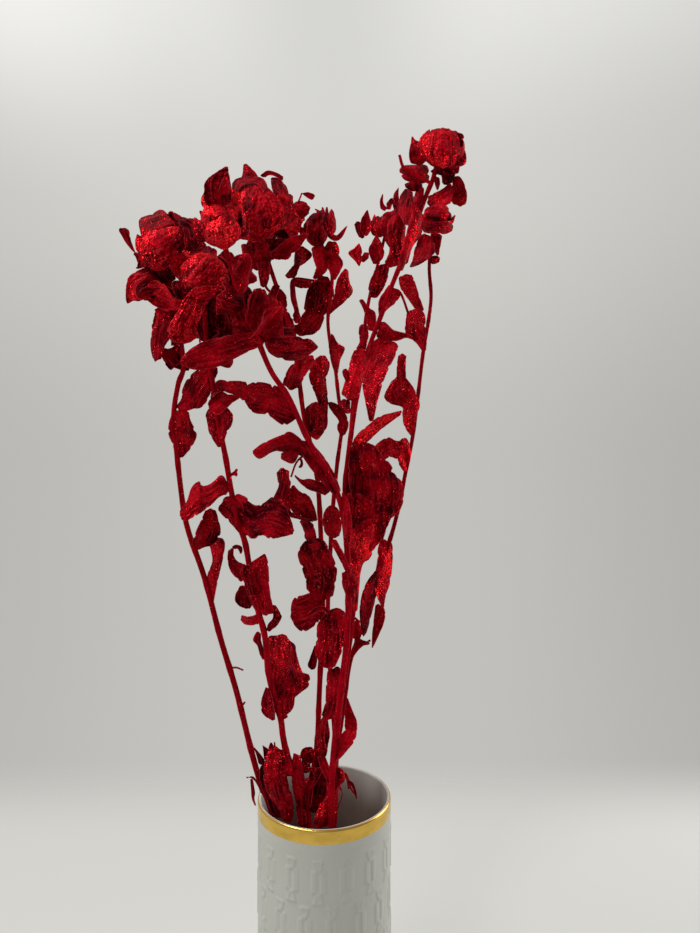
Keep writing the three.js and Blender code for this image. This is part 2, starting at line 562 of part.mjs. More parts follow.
// The flower heads, each on the upper end of its stem.
const HEADS = {
  head_far_left: {
    stem: "stem_far_left",
    at: [-88, 511, -18],
    radius: 16.5,
    lean: -14,
    rings: [
      { count: 4, from: 47, to: 118, open: 0.18, turn: 10, width: 1.30, rise: 1.12 },
      { count: 3, from: 78, to: 165, open: 0.02, turn: 50, width: 1.35, rise: 0.92 },
    ],
    loose: [
      [[[-98, 517, -9], [-90, 531, -8]], 17, { fold: -20 }],
      [[[-76, 512, -4], [-77, 526, -2]], 17, { fold: -24 }],
      [[[-89, 503, -14], [-83, 490, -14]], 12, { fold: -18 }],
      [[[-101, 502, -4], [-107, 497, -4]], 9, {}],
    ],
  },
  head_upper_left: {
    stem: "stem_front",
    at: [-59, 522, -62],
    radius: 12,
    lean: -8,
    rings: [
      { count: 4, from: 47, to: 120, open: 0.1, turn: 0, width: 1.30, rise: 1.12 },
      { count: 3, from: 88, to: 165, open: 0.05, turn: 40, width: 1.20, rise: 0.92 },
    ],
    loose: [
      [[[-61, 536, 4], [-56, 555, 6]], 17, { fold: 16, peak: 0.5 }],
      [[[-66, 531, -3], [-65, 544, -3]], 11, { fold: 16 }],
      [[[-69, 522, 0], [-71, 531, 1]], 4, {}],
      [[[-54, 532, -6], [-56, 545, -5]], 15, { fold: -16 }],
    ],
  },
  head_centre_left: {
    stem: "stem_middle",
    at: [-37, 528, 30],
    radius: 17.5,
    lean: 6,
    rings: [
      { count: 4, from: 47, to: 115, open: 0.1, turn: 0, width: 1.20, rise: 1.12 },
      { count: 3, from: 83, to: 165, open: 0.04, turn: 30, width: 1.25, rise: 0.92 },
    ],
    loose: [
      [[[-48, 537, -8], [-41, 550, -6]], 17, { fold: -22 }],
      [[[-44, 544, 2], [-45.5, 557, 4]], 13, { fold: 18 }],
      [[[-26, 536, 2], [-27, 549, 3], [-33, 552, 3]], 12, { fold: -20 }],
      [[[-22, 528, -6], [-16, 516, -8]], 17, { fold: 24 }],
      [[[-21, 529, 2], [-17, 541, 3]], 14, { fold: 18 }],
      [[[-26, 513, -4], [-15, 511, -5]], 10, { fold: 18 }],
    ],
  },
  head_ridged: {
    stem: "stem_left",
    at: [-68, 494, -40],
    radius: 13.5,
    lean: 12,
    rings: [
      { count: 4, from: 47, to: 120, open: 0.14, turn: 0, width: 1.15, rise: 1.12 },
      { count: 3, from: 88, to: 168, open: 0, turn: 30, width: 1.10, rise: 0.92 },
    ],
    loose: [
      [[[-60, 493, -8], [-56, 505, -7]], 13, { fold: -20 }],
      [[[-74, 492, -13], [-66, 508, -11]], 15, { fold: 24 }],
      [[[-76, 500, -3], [-73, 510, -2]], 8, {}],
      [[[-72, 484, -12], [-78, 470, -12], [-80, 455, -9]], 19, { fold: 14 }],
      [[[-66, 482, -9], [-56, 479, -5]], 13.5, { fold: 16 }],
    ],
  },
  head_small: {
    stem: "stem_inner_right",
    at: [-4, 521, 46],
    radius: 10,
    rings: [
      { count: 4, from: 47, to: 140, open: 0.12, turn: 0, width: 1.15, rise: 1.12 },
      { count: 3, from: 88, to: 165, open: 0.05, turn: 30, width: 1.10, rise: 0.92 },
    ],
    loose: [
      [[[6, 520, -2], [4, 532, -2]], 6.5, { fold: 15 }],
      [[[7, 515, -3], [13, 522, -4]], 3.5, {}],
    ],
  },
  head_top_right: {
    stem: "stem_right",
    at: [66, 566, -29],
    radius: 11.5,
    lean: 10,
    rings: [
      { count: 4, from: 42, to: 130, open: 0.04, turn: 0, width: 1.40, rise: 1.12 },
      { count: 3, from: 88, to: 172, open: 0, turn: 40, width: 1.30, rise: 0.92 },
    ],
    loose: [
      [[[55, 559, -2], [50, 573, -2]], 10, { fold: 16 }],
      [[[76, 563, -2], [74, 576, -2]], 9, { fold: -18 }],
      [[[78, 556, -3], [80.5, 562, -3], [77, 568, -3]], 4.5, {}],
      [[[72, 556, 4], [76, 552, 6]], 9, { fold: 14 }],
    ],
  },
  head_right: {
    stem: "stem_far_right",
    at: [63, 526, 45],
    radius: 9.5,
    lean: 8,
    rings: [
      { count: 4, from: 42, to: 105, open: 0.22, turn: 0, width: 1.35, rise: 1.12 },
      { count: 3, from: 78, to: 150, open: 0.05, turn: 40, width: 1.20, rise: 0.92 },
    ],
    loose: [
      [[[68, 518, -6], [74, 520, -6]], 8, { fold: -14 }],
      [[[56, 520, -4], [56, 531, -4]], 8, { fold: 16 }],
      [[[66, 514, -6], [66, 506, -7]], 9, { fold: 16 }],
    ],
  },
  head_side_branch: {
    stem: "stem_right",
    branch: 0,
    at: [35, 522, 17],
    radius: 7,
    rings: [
      { count: 4, from: 47, to: 130, open: 0.2, turn: 0, width: 1.20, rise: 1.12 },
      { count: 3, from: 88, to: 160, open: 0.1, turn: 40, width: 1.10, rise: 0.92 },
    ],
    loose: [
      [[[27, 521, -3], [25, 532, -4]], 8, { fold: 18 }],
      [[[24, 515, 2], [16, 524, 3]], 6, { fold: 18 }],
      [[[26, 510, -2], [20, 504, -3]], 9, { fold: -18 }],
      [[[40, 530, 2], [42, 544, 2]], 6, { fold: 18 }],
      [[[33, 531, 0], [33, 541, 0]], 4, {}],
    ],
  },
};

// The upper end of a stem or branch, and the seat of the head that it carries.
function neckOf(stem, branch) {
  const main = STEMS[stem];
  const carrier = branch === undefined ? main : main.branches[branch];
  const [before, last] = carrier.route.slice(-2).map((point) => sight(...point));
  const ahead = last.clone().sub(before).normalize();
  return { point: last.addScaledVector(ahead, SEAT_GAP), radius: carrier.radii[1] };
}

const porcelain = new THREE.MeshStandardMaterial({ color: 0xdfe0db, roughness: 0.6 });
const driedRed = new THREE.MeshStandardMaterial({ color: 0x82101a, roughness: 0.75 });

const bouquet = new THREE.Group();
function place(name, solid, material) {
  const mesh = new THREE.Mesh(geometryOf(solid), material);
  mesh.name = name;
  bouquet.add(mesh);
}

place("vase", vase(), porcelain);
for (const [name, stem] of Object.entries(STEMS)) place(name, leafyStem(stem), driedRed);
for (const [name, { stem, branch, ...shape }] of Object.entries(HEADS))
  place(name, head({ neck: neckOf(stem, branch), ...shape }), driedRed);

export default bouquet;
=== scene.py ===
"""Looks of a bunch of crimson-dyed dried safflower stems in a slim gilded bisque vase.

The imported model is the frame: every piece stands for one of its nodes and keeps that node's
form. Leaves, bracts, stems and the pressed relief are surfaces worked out as whole arrays, and
the finishes are node materials: dyed leaf with glitter flakes, and matt porcelain with gold.
Layout numbers are in millimetres and are turned into metres when a mesh is made.
"""

import logging
import math
from dataclasses import dataclass
from enum import Enum
from typing import Callable

import bpy
import numpy as np
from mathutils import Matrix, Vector

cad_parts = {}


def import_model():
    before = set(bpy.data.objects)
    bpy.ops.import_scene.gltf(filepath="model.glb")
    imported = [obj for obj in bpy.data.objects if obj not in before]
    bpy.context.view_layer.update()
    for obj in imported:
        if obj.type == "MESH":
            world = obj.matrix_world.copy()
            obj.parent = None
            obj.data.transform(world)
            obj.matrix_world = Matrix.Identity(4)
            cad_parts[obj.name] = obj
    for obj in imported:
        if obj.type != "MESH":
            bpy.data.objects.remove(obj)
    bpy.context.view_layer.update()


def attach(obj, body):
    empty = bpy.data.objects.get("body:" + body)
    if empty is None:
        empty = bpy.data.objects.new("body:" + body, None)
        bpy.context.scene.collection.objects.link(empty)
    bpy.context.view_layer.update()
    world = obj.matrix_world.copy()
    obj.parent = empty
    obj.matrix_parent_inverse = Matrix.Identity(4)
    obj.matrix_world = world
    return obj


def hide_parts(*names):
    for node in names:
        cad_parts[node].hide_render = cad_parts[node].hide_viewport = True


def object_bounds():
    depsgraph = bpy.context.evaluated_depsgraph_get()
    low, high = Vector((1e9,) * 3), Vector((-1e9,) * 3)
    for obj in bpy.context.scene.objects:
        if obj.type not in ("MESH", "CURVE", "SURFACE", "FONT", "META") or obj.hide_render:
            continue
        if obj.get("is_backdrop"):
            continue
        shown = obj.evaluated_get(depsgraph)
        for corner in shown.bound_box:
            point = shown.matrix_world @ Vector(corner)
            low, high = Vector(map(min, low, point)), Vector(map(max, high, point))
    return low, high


log = logging.getLogger("bouquet")

MM = 0.001
EYE = np.array([14.5, -368.0, 385.5])  # the camera, from which the layout is seen
FULL_TURN = 6.28  # in radians, for seeded phases

Array = np.ndarray
Point = tuple[float, float, float]
Route = tuple[Point, ...]
Colour = tuple[float, float, float, float]
Line = Callable[[Array], Array]  # from shares of a length to points or directions
Values = dict[str, Array | float]  # what the finish reads, one number or one a point


class Part(Enum):
    """What a point of the mesh belongs to, as the finish reads it."""

    STEM = 0.0
    BLADE = 1.0


# ---- Numbers that look random, curves and surfaces ----


def scatter(seed: float) -> float:
    """A number from 0 to 1 that looks random and is the same on every run."""
    raised = math.sin(seed * 12.9898) * 43758.5453
    return raised - math.floor(raised)


def sight(x: float, z: float, depth: float) -> Array:
    """A point of the layout plane, moved to its depth along the line of sight.

    Args:
        x: Place to the right of the vase's axis.
        z: Height above the vase's foot.
        depth: Distance beyond the plane, away from the eye.

    Returns:
        The point, in millimetres.
    """
    share = 1 - depth / EYE[1]
    return EYE + (np.array([x, 0.0, z]) - EYE) * share


def pushed(points: Array, change: Array | float) -> Array:
    """Points moved deeper by the change, each along its own line of sight."""
    return EYE + (points - EYE) * (1 + change / (points[..., 1] - EYE[1]))[..., None]


def unit(vectors: Array) -> Array:
    """The vectors made one unit long."""
    return vectors / np.maximum(np.linalg.norm(vectors, axis=-1, keepdims=True), 1e-9)


def smooth_curve(points: Array, shares: Array) -> Array:
    """A uniform Catmull-Rom curve through points, carried straight on beyond both ends.

    Args:
        points: The points that the curve passes through.
        shares: Places along it, from 0 to 1.

    Returns:
        One point for each share.
    """
    last = len(points) - 1
    padded = np.vstack([2 * points[0] - points[1], points, 2 * points[-1] - points[-2]])
    place = np.clip(shares, 0, 1) * last
    first = np.minimum(place.astype(int), last - 1)
    t = (place - first)[:, None]
    p0, p1, p2, p3 = (padded[first + k] for k in range(4))
    m1, m2 = (p2 - p0) / 2, (p3 - p1) / 2
    cubic = (2 * p1 - 2 * p2 + m1 + m2) * t**3
    return cubic + (-3 * p1 + 3 * p2 - 2 * m1 - m2) * t**2 + m1 * t + p1


def tangents(points: Array) -> Array:
    """Unit directions along a line of points."""
    return unit(np.gradient(points, axis=0))


def turned(vectors: Array, axes: Array, degrees: float) -> Array:
    """Vectors turned about unit axes, by Rodrigues' rotation formula."""
    angle = np.radians(degrees)
    along = (vectors * axes).sum(-1, keepdims=True) * axes
    return along + (vectors - along) * np.cos(angle) + np.cross(axes, vectors) * np.sin(angle)


def smooth_step(values: Array, low: float, high: float) -> Array:
    """An S-shaped rise from 0 at low to 1 at high."""
    t = np.clip((values - low) / (high - low), 0, 1)
    return t * t * (3 - 2 * t)


def ripples(u: Array, v: Array, seed: int, waves: int = 7) -> Array:
    """Soft irregular creases over two lengths in millimetres.

    The sum of a few sine waves with seeded directions and phases, each shorter wave lower than
    the one before it, folded by an absolute value so that some meet in sharp creases.

    Args:
        u: Lengths in one direction.
        v: Lengths in the other.
        seed: Picks the pattern.
        waves: How many waves are added.

    Returns:
        Heights of about -1 to 1.
    """
    longest, shorter, lower, usual_top = 15.0, 1.38, 0.8, 2.4
    pick = np.random.default_rng(seed)
    total = np.zeros(np.broadcast(u, v).shape)
    for k in range(waves):
        turn, phase = pick.uniform(0, 2 * np.pi, 2)
        pitch = longest / shorter**k
        wave = np.sin((u * np.cos(turn) + v * np.sin(turn)) * 2 * np.pi / pitch + phase)
        crease = 1 - 2 * np.abs(wave) if k % 2 else wave
        total += crease * lower**k
    return total / usual_top


# ---- Meshes ----


class Piece:
    """One object of the scene, gathered from closed shells."""

    FIELDS = ("part", "under", "glitter", "shade", "along", "across", "edge")
    THICKNESS = 0.34  # of a blade

    def __init__(self, name: str) -> None:
        """Starts an empty piece of that name."""
        self.name = name
        self.points: list[Array] = []
        self.quads: list[Array] = []
        self.caps: list[list[int]] = []
        self.values: dict[str, list[Array]] = {key: [] for key in self.FIELDS}
        self.count = 0

    def _keep(self, points: Array, quads: Array, caps: list[list[int]],
              values: Values) -> None:
        """Adds one closed shell, turned so that its faces point outwards.

        The sum of the signed volumes under the faces tells which way they point: where it is
        negative, every face is reversed.

        Args:
            points: The shell's points.
            quads: Its four-sided faces, as point numbers.
            caps: Its many-sided end faces.
            values: The finish's values.
        """
        a, b, c, d = (points[quads[:, k]] for k in range(4))
        volume = (np.cross(a, b) * c).sum() + (np.cross(a, c) * d).sum()
        for cap in caps:
            ring = points[cap]
            volume += (np.cross(ring[0], ring[1:-1]) * ring[2:]).sum()
        if volume < 0:
            quads = quads[:, ::-1]
            caps = [cap[::-1] for cap in caps]
        self.points.append(points)
        self.quads.append(quads + self.count)
        self.caps += [[number + self.count for number in cap] for cap in caps]
        for key in self.FIELDS:
            filled = np.broadcast_to(np.asarray(values.get(key, 0.0), float), len(points))
            self.values[key].append(filled)
        self.count += len(points)

    def add_blade(self, middle: Array, values: Values) -> None:
        """Adds a thin blade: a grid of points, given its thickness half to each side.

        Args:
            middle: The grid's points, rows by columns.
            values: The finish's values, one number or a grid.
        """
        rows, columns = middle.shape[:2]
        normal = unit(np.cross(np.gradient(middle, axis=1), np.gradient(middle, axis=0)))
        half = self.THICKNESS / 2
        points = np.concatenate([(middle + normal * half).reshape(-1, 3),
                                 (middle - normal * half).reshape(-1, 3)])
        grid = np.arange(rows * columns).reshape(rows, columns)
        upper = _quads(grid)
        border = np.concatenate([grid[0, :], grid[1:, -1], grid[-1, -2::-1], grid[-2:0:-1, 0]])
        after = np.roll(border, -1)
        below = rows * columns
        rim = np.stack([border, border + below, after + below, after], axis=1)
        quads = np.concatenate([upper, upper[:, ::-1] + below, rim])
        doubled = {"part": Part.BLADE.value}
        for key, value in values.items():
            flat = np.broadcast_to(np.asarray(value, float), (rows, columns)).ravel()
            doubled[key] = np.concatenate([flat, flat])
        doubled["under"] = np.concatenate([np.zeros(below), np.ones(below)])
        self._keep(points, quads, [], doubled)

    def add_tube(self, rings: Array, values: Values) -> None:
        """Adds a closed tube from rings of points, with a flat face at each end.

        Args:
            rings: The points, rings by points of a ring.
            values: The finish's values, one number or one a ring.
        """
        count, sides = rings.shape[:2]
        grid = np.arange(count * sides).reshape(count, sides)
        quads = _quads(np.concatenate([grid, grid[:, :1]], axis=1))
        caps = [grid[0][::-1].tolist(), grid[-1].tolist()]
        spread = {}
        for key, value in values.items():
            rowed = np.broadcast_to(np.asarray(value, float), count)
            spread[key] = np.repeat(rowed, sides)
        self._keep(rings.reshape(-1, 3), quads, caps, spread)

    def finish(self, material: bpy.types.Material, replaced: str,
               sharp: float = 50.0) -> bpy.types.Object:
        """Makes the object, dresses it and sets it in place of its node.

        Args:
            material: The finish.
            replaced: The node that the piece stands for.
            sharp: The angle in degrees from which an edge is drawn sharp.

        Returns:
            The new object.
        """
        mesh = bpy.data.meshes.new(self.name)
        faces = np.concatenate(self.quads).tolist() + self.caps
        mesh.from_pydata((np.concatenate(self.points) * MM).tolist(), [], faces)
        for key in self.FIELDS:
            attribute = mesh.attributes.new(key, "FLOAT", "POINT")
            attribute.data.foreach_set("value", np.concatenate(self.values[key]))
        mesh.validate()
        mesh.shade_smooth()
        mesh.set_sharp_from_angle(angle=math.radians(sharp))
        mesh.materials.append(material)
        thing = bpy.data.objects.new(self.name, mesh)
        bpy.context.scene.collection.objects.link(thing)
        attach(thing, "root")
        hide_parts(replaced)
        log.info("%s: %d faces", self.name, len(faces))
        return thing


def _quads(grid: Array) -> Array:
    """The four-sided faces between the neighbours of a grid of point numbers."""
    corners = [grid[:-1, :-1], grid[:-1, 1:], grid[1:, 1:], grid[1:, :-1]]
    return np.stack(corners, axis=-1).reshape(-1, 4)


def tube_rings(line: Array, radii: Array, sides: int, furrow: float = 0.09,
               furrows: int = 5) -> Array:
    """Rings of points round a line.

    Each ring lies square to the line. Its spokes are measured from the direction across the
    line that is nearest to the view, and its radius swells furrows times round the ring.

    Args:
        line: The middle line's points.
        radii: One radius for each of them.
        sides: How many points a ring has.
        furrow: How much the radius swells, as a share.
        furrows: How many times it swells round the ring.

    Returns:
        The points, rings by sides.
    """
    along = tangents(line)
    overall = np.abs(unit(line[-1] - line[0]))
    seen = np.array([0.0, 1.0, 0.0]) if overall[1] < 0.7 else np.array([1.0, 0.0, 0.0])
    first = unit(seen - (along * seen).sum(1, keepdims=True) * along)
    second = np.cross(along, first)
    angle = np.arange(sides) * 2 * np.pi / sides
    swell = radii[:, None] * (1 + furrow * np.cos(furrows * angle))[None, :]
    spokes = (first[:, None] * np.cos(angle)[None, :, None]
              + second[:, None] * np.sin(angle)[None, :, None])
    return line[:, None] + spokes * swell[..., None]


# ---- Leaves, stems and flower heads ----

BESIDE_RIB = 2.0  # the place across that tells the finish to draw no rib
STANDS_AT = 5.3  # where the stems stand, just above the vase's floor
LEAF_PEAK = 0.42  # where a leaf is widest, as a share of its length


@dataclass(frozen=True)
class Crumple:
    """How a dried blade is crinkled, as shares of its width unless said otherwise."""

    height: float = 0.06  # of the creases
    edge_cut: float = 0.13  # depth of the broken edge
    curl: float = 1.25  # how far an edge rolls, up or down, in radians
    teeth: float = 0.07  # depth of the small teeth
    sway: float = 0.05  # how far the middle line swings up and down, as a share of the length


@dataclass(frozen=True)
class Leaf:
    """A leaf: its height on the stem, the points its middle line passes through, its width and
    its style. Its number among the solid's leaves picks its reach, its face and its creases."""

    number: int
    height: float
    route: Route
    width: float
    fold: float = 0.0
    face: float | None = None
    reach: float | None = None


@dataclass(frozen=True)
class Twig:
    """A thin twig: its height on the stem, its points and its radius."""

    height: float
    route: Route
    radius: float


@dataclass(frozen=True)
class Bract:
    """A loose bract of a head. Its depths are counted from the head's centre."""

    route: Route
    width: float
    fold: float = 0.0


@dataclass(frozen=True)
class SheetForm:
    """What all sheets share, in millimetres unless said otherwise."""

    step: float = 0.7  # of the grid
    mouth: float = 240.0  # leaves that lie below it keep clear of the vase's wall
    turn: tuple[float, float] = (22.0, 50.0)  # about its length, in degrees
    turn_width: float = 15.0  # wider sheets are turned less
    tear: float = 0.17  # depth of the torn edge, as a share of the half width
    crease_width: float = 14.0  # wider sheets have no deeper creases
    pleats: tuple[float, ...] = (-0.13, 0.13, 0.16)  # along the middle, as shares of the width
    ridge: float = 0.32  # height of the ridges, as a share of the bulge
    hem: float = 1.1  # how far the edges stand up or down


@dataclass(frozen=True)
class Sheet:
    """A crumpled sheet between two edges. An edge is given by steps in x and z, in the layout
    plane: one to its start, which for the second edge is counted from the first edge's start,
    and one from each of its points to the next. The sheet's middle bulges towards the eye."""

    first: tuple[float, ...]
    second: tuple[float, ...]
    depth: float
    bulge: float = 1.5
    glitter: float = 0.3
    # shade: how much darker or lighter the sheet's colour is, painted shade and painted light besides the
    # leaf's own tone
    shade: float = 0.0
    slant: float = 0.0  # how much deeper its end lies than its start
    form: SheetForm = SheetForm()

    def draw(self, piece: Piece, number: int, head: "Head | None" = None) -> None:
        """Adds the sheet. It is turned about its length, or laid round the head that it is on.

        Args:
            piece: The piece it becomes part of.
            number: Picks its creases and the tears of its edges.
            head: The head it is a bract of.
        """
        outline = self._outline()
        edges = [self._placed(edge) for edge in outline]
        length = max(np.linalg.norm(np.diff(edge, axis=0), axis=1).sum() for edge in edges)
        s = np.linspace(0, 1, int(np.clip(length / self.form.step, 10, 60)))
        width = np.linalg.norm(smooth_curve(edges[1], s) - smooth_curve(edges[0], s), axis=1).max()
        v = np.linspace(-1, 1, int(np.clip(width / self.form.step, 6, 40)))
        pick = np.random.default_rng(number * 31 + len(piece.name))
        ends = [min(0.25, 0.36 * np.linalg.norm(edges[1][k] - edges[0][k]) / length) for k in (0, -1)]
        corner = 0.5 * (1 - np.sqrt(1 - 0.97 * v**2)) + 0.5 * np.abs(v)  # rounds both ends
        corner = corner + 0.2 * np.sin(v * 5 + pick.uniform(0, FULL_TURN)) * (1 - v**2)
        reach = ends[0] * corner + s[:, None] * (1 - sum(ends) * corner)
        left, right = (smooth_curve(edge, reach.ravel()).reshape(*reach.shape, 3) for edge in edges)
        inner = np.sin(np.pi * s)[:, None]
        way = reach * length
        lean = np.abs(v)[None, :]
        phases = np.where(v[:, None] < 0, *pick.uniform(0, FULL_TURN, (2, 2))).T
        torn = np.maximum(0, np.sin(way / 1.2 + phases[0]) * np.sin(way / 3.7 + phases[1])) ** 2
        share = (1 + v[None, :] * (1 - self.form.tear * torn * inner * lean**5))[..., None] / 2
        middle = left * (1 - share) + right * share
        level = v[None, :] * np.linalg.norm(right - left, axis=2) / 2
        turn = pick.choice([-1, 1]) * math.tan(math.radians(pick.uniform(*self.form.turn)))
        turn *= min(1, self.form.turn_width / width)
        low = outline[0][:, 1].max() < self.form.mouth
        if head:
            middle = head.wrap(middle, self.depth)
        elif not low:
            middle = pushed(middle, turn * level * np.minimum(1, s / 0.3)[:, None])
        lift = self._lift(way, level, v, inner, length, width, bool(head) or low, pick)
        middle = middle + unit(EYE - middle) * lift[..., None]
        centre = len(s) // 2, len(v) // 2
        normal = np.cross(np.gradient(middle, axis=1)[centre], np.gradient(middle, axis=0)[centre])
        if (normal * (EYE - middle[centre])).sum() < 0:
            middle = middle[:, ::-1]
        piece.add_blade(middle, {
            "glitter": self.glitter, "shade": self.shade, "along": way, "across": level,
            "edge": lean**10,
        })

    def _outline(self) -> list[Array]:
        """Both edges in the layout plane, a row of x and z for each point."""
        first, second = (np.cumsum(np.reshape(edge, (-1, 2)), 0) for edge in (self.first, self.second))
        return [first.round(1), (first[0] + second).round(1)]

    def _placed(self, edge: Array) -> Array:
        """An edge's points at their depths."""
        depths = self.depth + self.slant * np.linspace(0, 1, len(edge))
        return np.array([sight(*at, depth) for at, depth in zip(edge, depths)])

    def _lift(self, way: Array, level: Array, v: Array, inner: Array,
              length: float, width: float, rough: bool, pick: np.random.Generator) -> Array:
        """How far each point stands out: the bulge with creases, a pleat, ridges and a hem.

        Args:
            way: How far each point lies along the sheet.
            level: How far it lies beside the middle.
            v: The columns, from -1 to 1.
            inner: The arch that fades both ends.
            length: The sheet's length.
            width: Its width.
            rough: Whether its creases are short and deep, as on heads and at the vase's mouth.
            pick: The seeded source of the pattern.

        Returns:
            Lengths towards the eye.
        """
        pitch, height = (0.75, 0.15) if rough else (0.24, 0.12)
        creases = ripples(way * pitch, level * 0.85, int(pick.integers(1 << 30)))
        grain = ripples(way * 1.9, level * 2.6, int(pick.integers(1 << 30)), 4)
        ridges = ripples(way * 0.08, level * 1.9, int(pick.integers(1 << 30)), 4)
        half = np.abs(v[None, :] - pick.uniform(-0.35, 0.35) * np.cos(way / length * 3))
        lean = np.abs(v)[None, :]
        size = min(width, self.form.crease_width)
        lift = self.bulge * (1 - lean**2) * np.sqrt(np.maximum(inner, 0))
        lift = lift + size * (height * (0.6 - np.abs(creases)) + 0.012 * grain)
        lift = lift + size * pick.choice(self.form.pleats) * (half - 0.5) * inner
        lift = lift + min(self.bulge, 4) * self.form.ridge * (0.4 - np.abs(ridges))
        return lift + self.form.hem * pick.choice([-1, 1]) * lean**5


@dataclass(frozen=True)
class Ring:
    """A ring of bracts round a head."""

    count: int
    start: float  # the polar angle of their roots, in degrees from the stem
    end: float  # that of their tips
    spread: float  # how far they open, as a share of the head's radius
    turn: float  # of the whole ring, in degrees
    width: float  # as a share of the head's radius
    rise: float  # where they lie, as the same share


def outline(shares: Array, peak: float) -> Array:
    """A blade's half width: a sine arch that peaks at a share of the length, more pointed beyond."""
    eased = np.maximum(shares, 1e-6) ** (math.log(0.5) / math.log(peak))
    arch = np.sin(np.pi * np.minimum(eased, 1)) ** np.where(shares < peak, 0.62, 0.74)
    return np.maximum.reduce([arch, 0.16 * (1 - shares), np.full_like(shares, 0.03)])


@dataclass(frozen=True)
class Blade:
    """A crinkled blade on a middle line, with the form of the solid blade that it stands for."""

    width: float
    peak: float  # where it is widest, as a share of its length
    fold: float  # how far its halves rise, in degrees
    wave: float  # height of the slow ripple of its edges
    seed: float
    spans: int  # the solid's notches lie at their ends
    crumple: Crumple
    glitter: float
    notch: float = 0.13  # depth of the solid's notches, as a share of the half width
    step: float = 0.8  # of the grid's rows

    def draw(self, piece: Piece, spine: Line, facing: Line) -> None:
        """Works out the blade as a grid and adds it to the piece.

        Across, each half is an arc: it rises from the middle line by the fold and rolls on by
        the curl, which swings along the blade. Edges ripple, creases run mostly lengthwise, the
        middle line sways, and the outline is drawn in by seeded notches and teeth.

        Args:
            piece: The piece it becomes part of.
            spine: Its middle line, for shares from 0 to 1.
            facing: The way its upper face looks, for the same shares.
        """
        rough = spine(np.linspace(0, 1, 30))
        length = np.linalg.norm(np.diff(rough, axis=0), axis=1).sum()
        rows = int(np.clip(length / self.step, 14, 62))
        columns = int(np.clip(self.width, 6, 20)) // 2 * 2 + 1
        s = np.linspace(0, 1, rows)
        v = np.linspace(-1, 1, columns)
        line = spine(s)
        along = unit(spine(np.minimum(1, s + 0.02)) - spine(np.maximum(0, s - 0.02)))
        face = facing(s)
        face = unit(face - (face * along).sum(1, keepdims=True) * along)
        across = np.cross(along, face)
        inner = np.sin(np.pi * s)
        pick = np.random.default_rng(int(self.seed * 977 + 13) % 2**31)
        half = outline(s, self.peak) * self.width / 2
        reach = self._edges(s, inner, length, pick)
        left = v[None, :] < 0
        wide = half[:, None] * np.where(left, reach[0][:, None], reach[1][:, None])
        lean = np.abs(v)[None, :]
        ripple = inner[:, None] * np.sin(9 * s[:, None] + self.seed + 1.4 * v[None, :])
        rolls = pick.choice([-1, 1]) * pick.uniform(0.35, 1, 2) * self.crumple.curl
        rolls[1] *= pick.choice([-0.6, 1, 1])
        swing = 0.55 + 0.45 * np.sin(s * np.pi * 2.1 + pick.uniform(0, FULL_TURN))
        bend = np.where(left, rolls[0], rolls[1]) * swing[:, None] + 1e-4
        fold = math.radians(self.fold)
        arc = bend * lean
        level = np.sign(v)[None, :] * wide * np.sin(arc) / bend
        rise = wide * (1 - np.cos(arc)) / bend
        out = level * math.cos(fold) * 1.06
        creases = ripples(s[:, None] * length * 0.45, level * 1.7, int(pick.integers(1 << 30)))
        grain = ripples(s[:, None] * length * 2.4, level * 3.1, int(pick.integers(1 << 30)), 4)
        lift = np.abs(level) * math.sin(fold) + lean * self.wave * ripple + rise
        soft = 0.35 + 0.65 * inner[:, None]
        folds = creases + 1.2 * (0.5 - np.abs(creases))
        lift = lift + self.crumple.height * self.width * soft * (folds + 0.25 * grain)
        sway = np.sin(s * 7.5 + pick.uniform(0, FULL_TURN)) * inner * self.crumple.sway * length
        rib = 0.35 * np.exp(-((out / 0.8) ** 2)) * (1 - s[:, None])
        middle = (line[:, None] + across[:, None] * out[..., None]
                  + face[:, None] * (lift + sway[:, None] - rib)[..., None])
        piece.add_blade(middle, {
            "glitter": self.glitter * (0.55 + 0.45 * np.sin(s * 5 + self.seed))[:, None],
            "shade": 2 * pick.uniform() - 1,
            "along": s[:, None] * length,
            "across": out,
            "edge": lean**10,
        })

    def _edges(self, s: Array, inner: Array, length: float,
               pick: np.random.Generator) -> list[Array]:
        """How far each edge reaches, as a share of the half width, left and right.

        The solid's notches are passed through in straight lines. A few slow waves and short
        pointed teeth are added, and both fade towards the root.

        Args:
            s: Shares of the length.
            inner: The arch that fades both ends.
            length: The blade's length.
            pick: The seeded source of the waves.

        Returns:
            Two rows of shares.
        """
        reach = []
        marks = np.arange(self.spans + 1)
        for side in (-1, 1):
            cuts = [self.notch * math.sin(math.pi * k / self.spans)
                    * (2 * scatter(self.seed + k * 7 + side * 3) - 1) for k in marks]
            edge = 1 + np.interp(s, marks / self.spans, cuts)
            phase = pick.uniform(0, FULL_TURN, 5)
            way = s * length
            slow = np.sin(way / 2.4 + phase[0]) * np.sin(way / 4.3 + phase[1])
            torn = np.maximum(0, np.sin(way / 3.1 + phase[3]) * np.sin(way / 1.3 + phase[4]))
            tooth = np.abs(np.mod(way / 2.1 + phase[2], 1) - 0.5) * 2
            edge = edge + self.crumple.edge_cut * (slow - 1.2 * torn**3) * inner
            reach.append(edge - self.crumple.teeth * tooth**2 * np.sqrt(inner))
        return reach


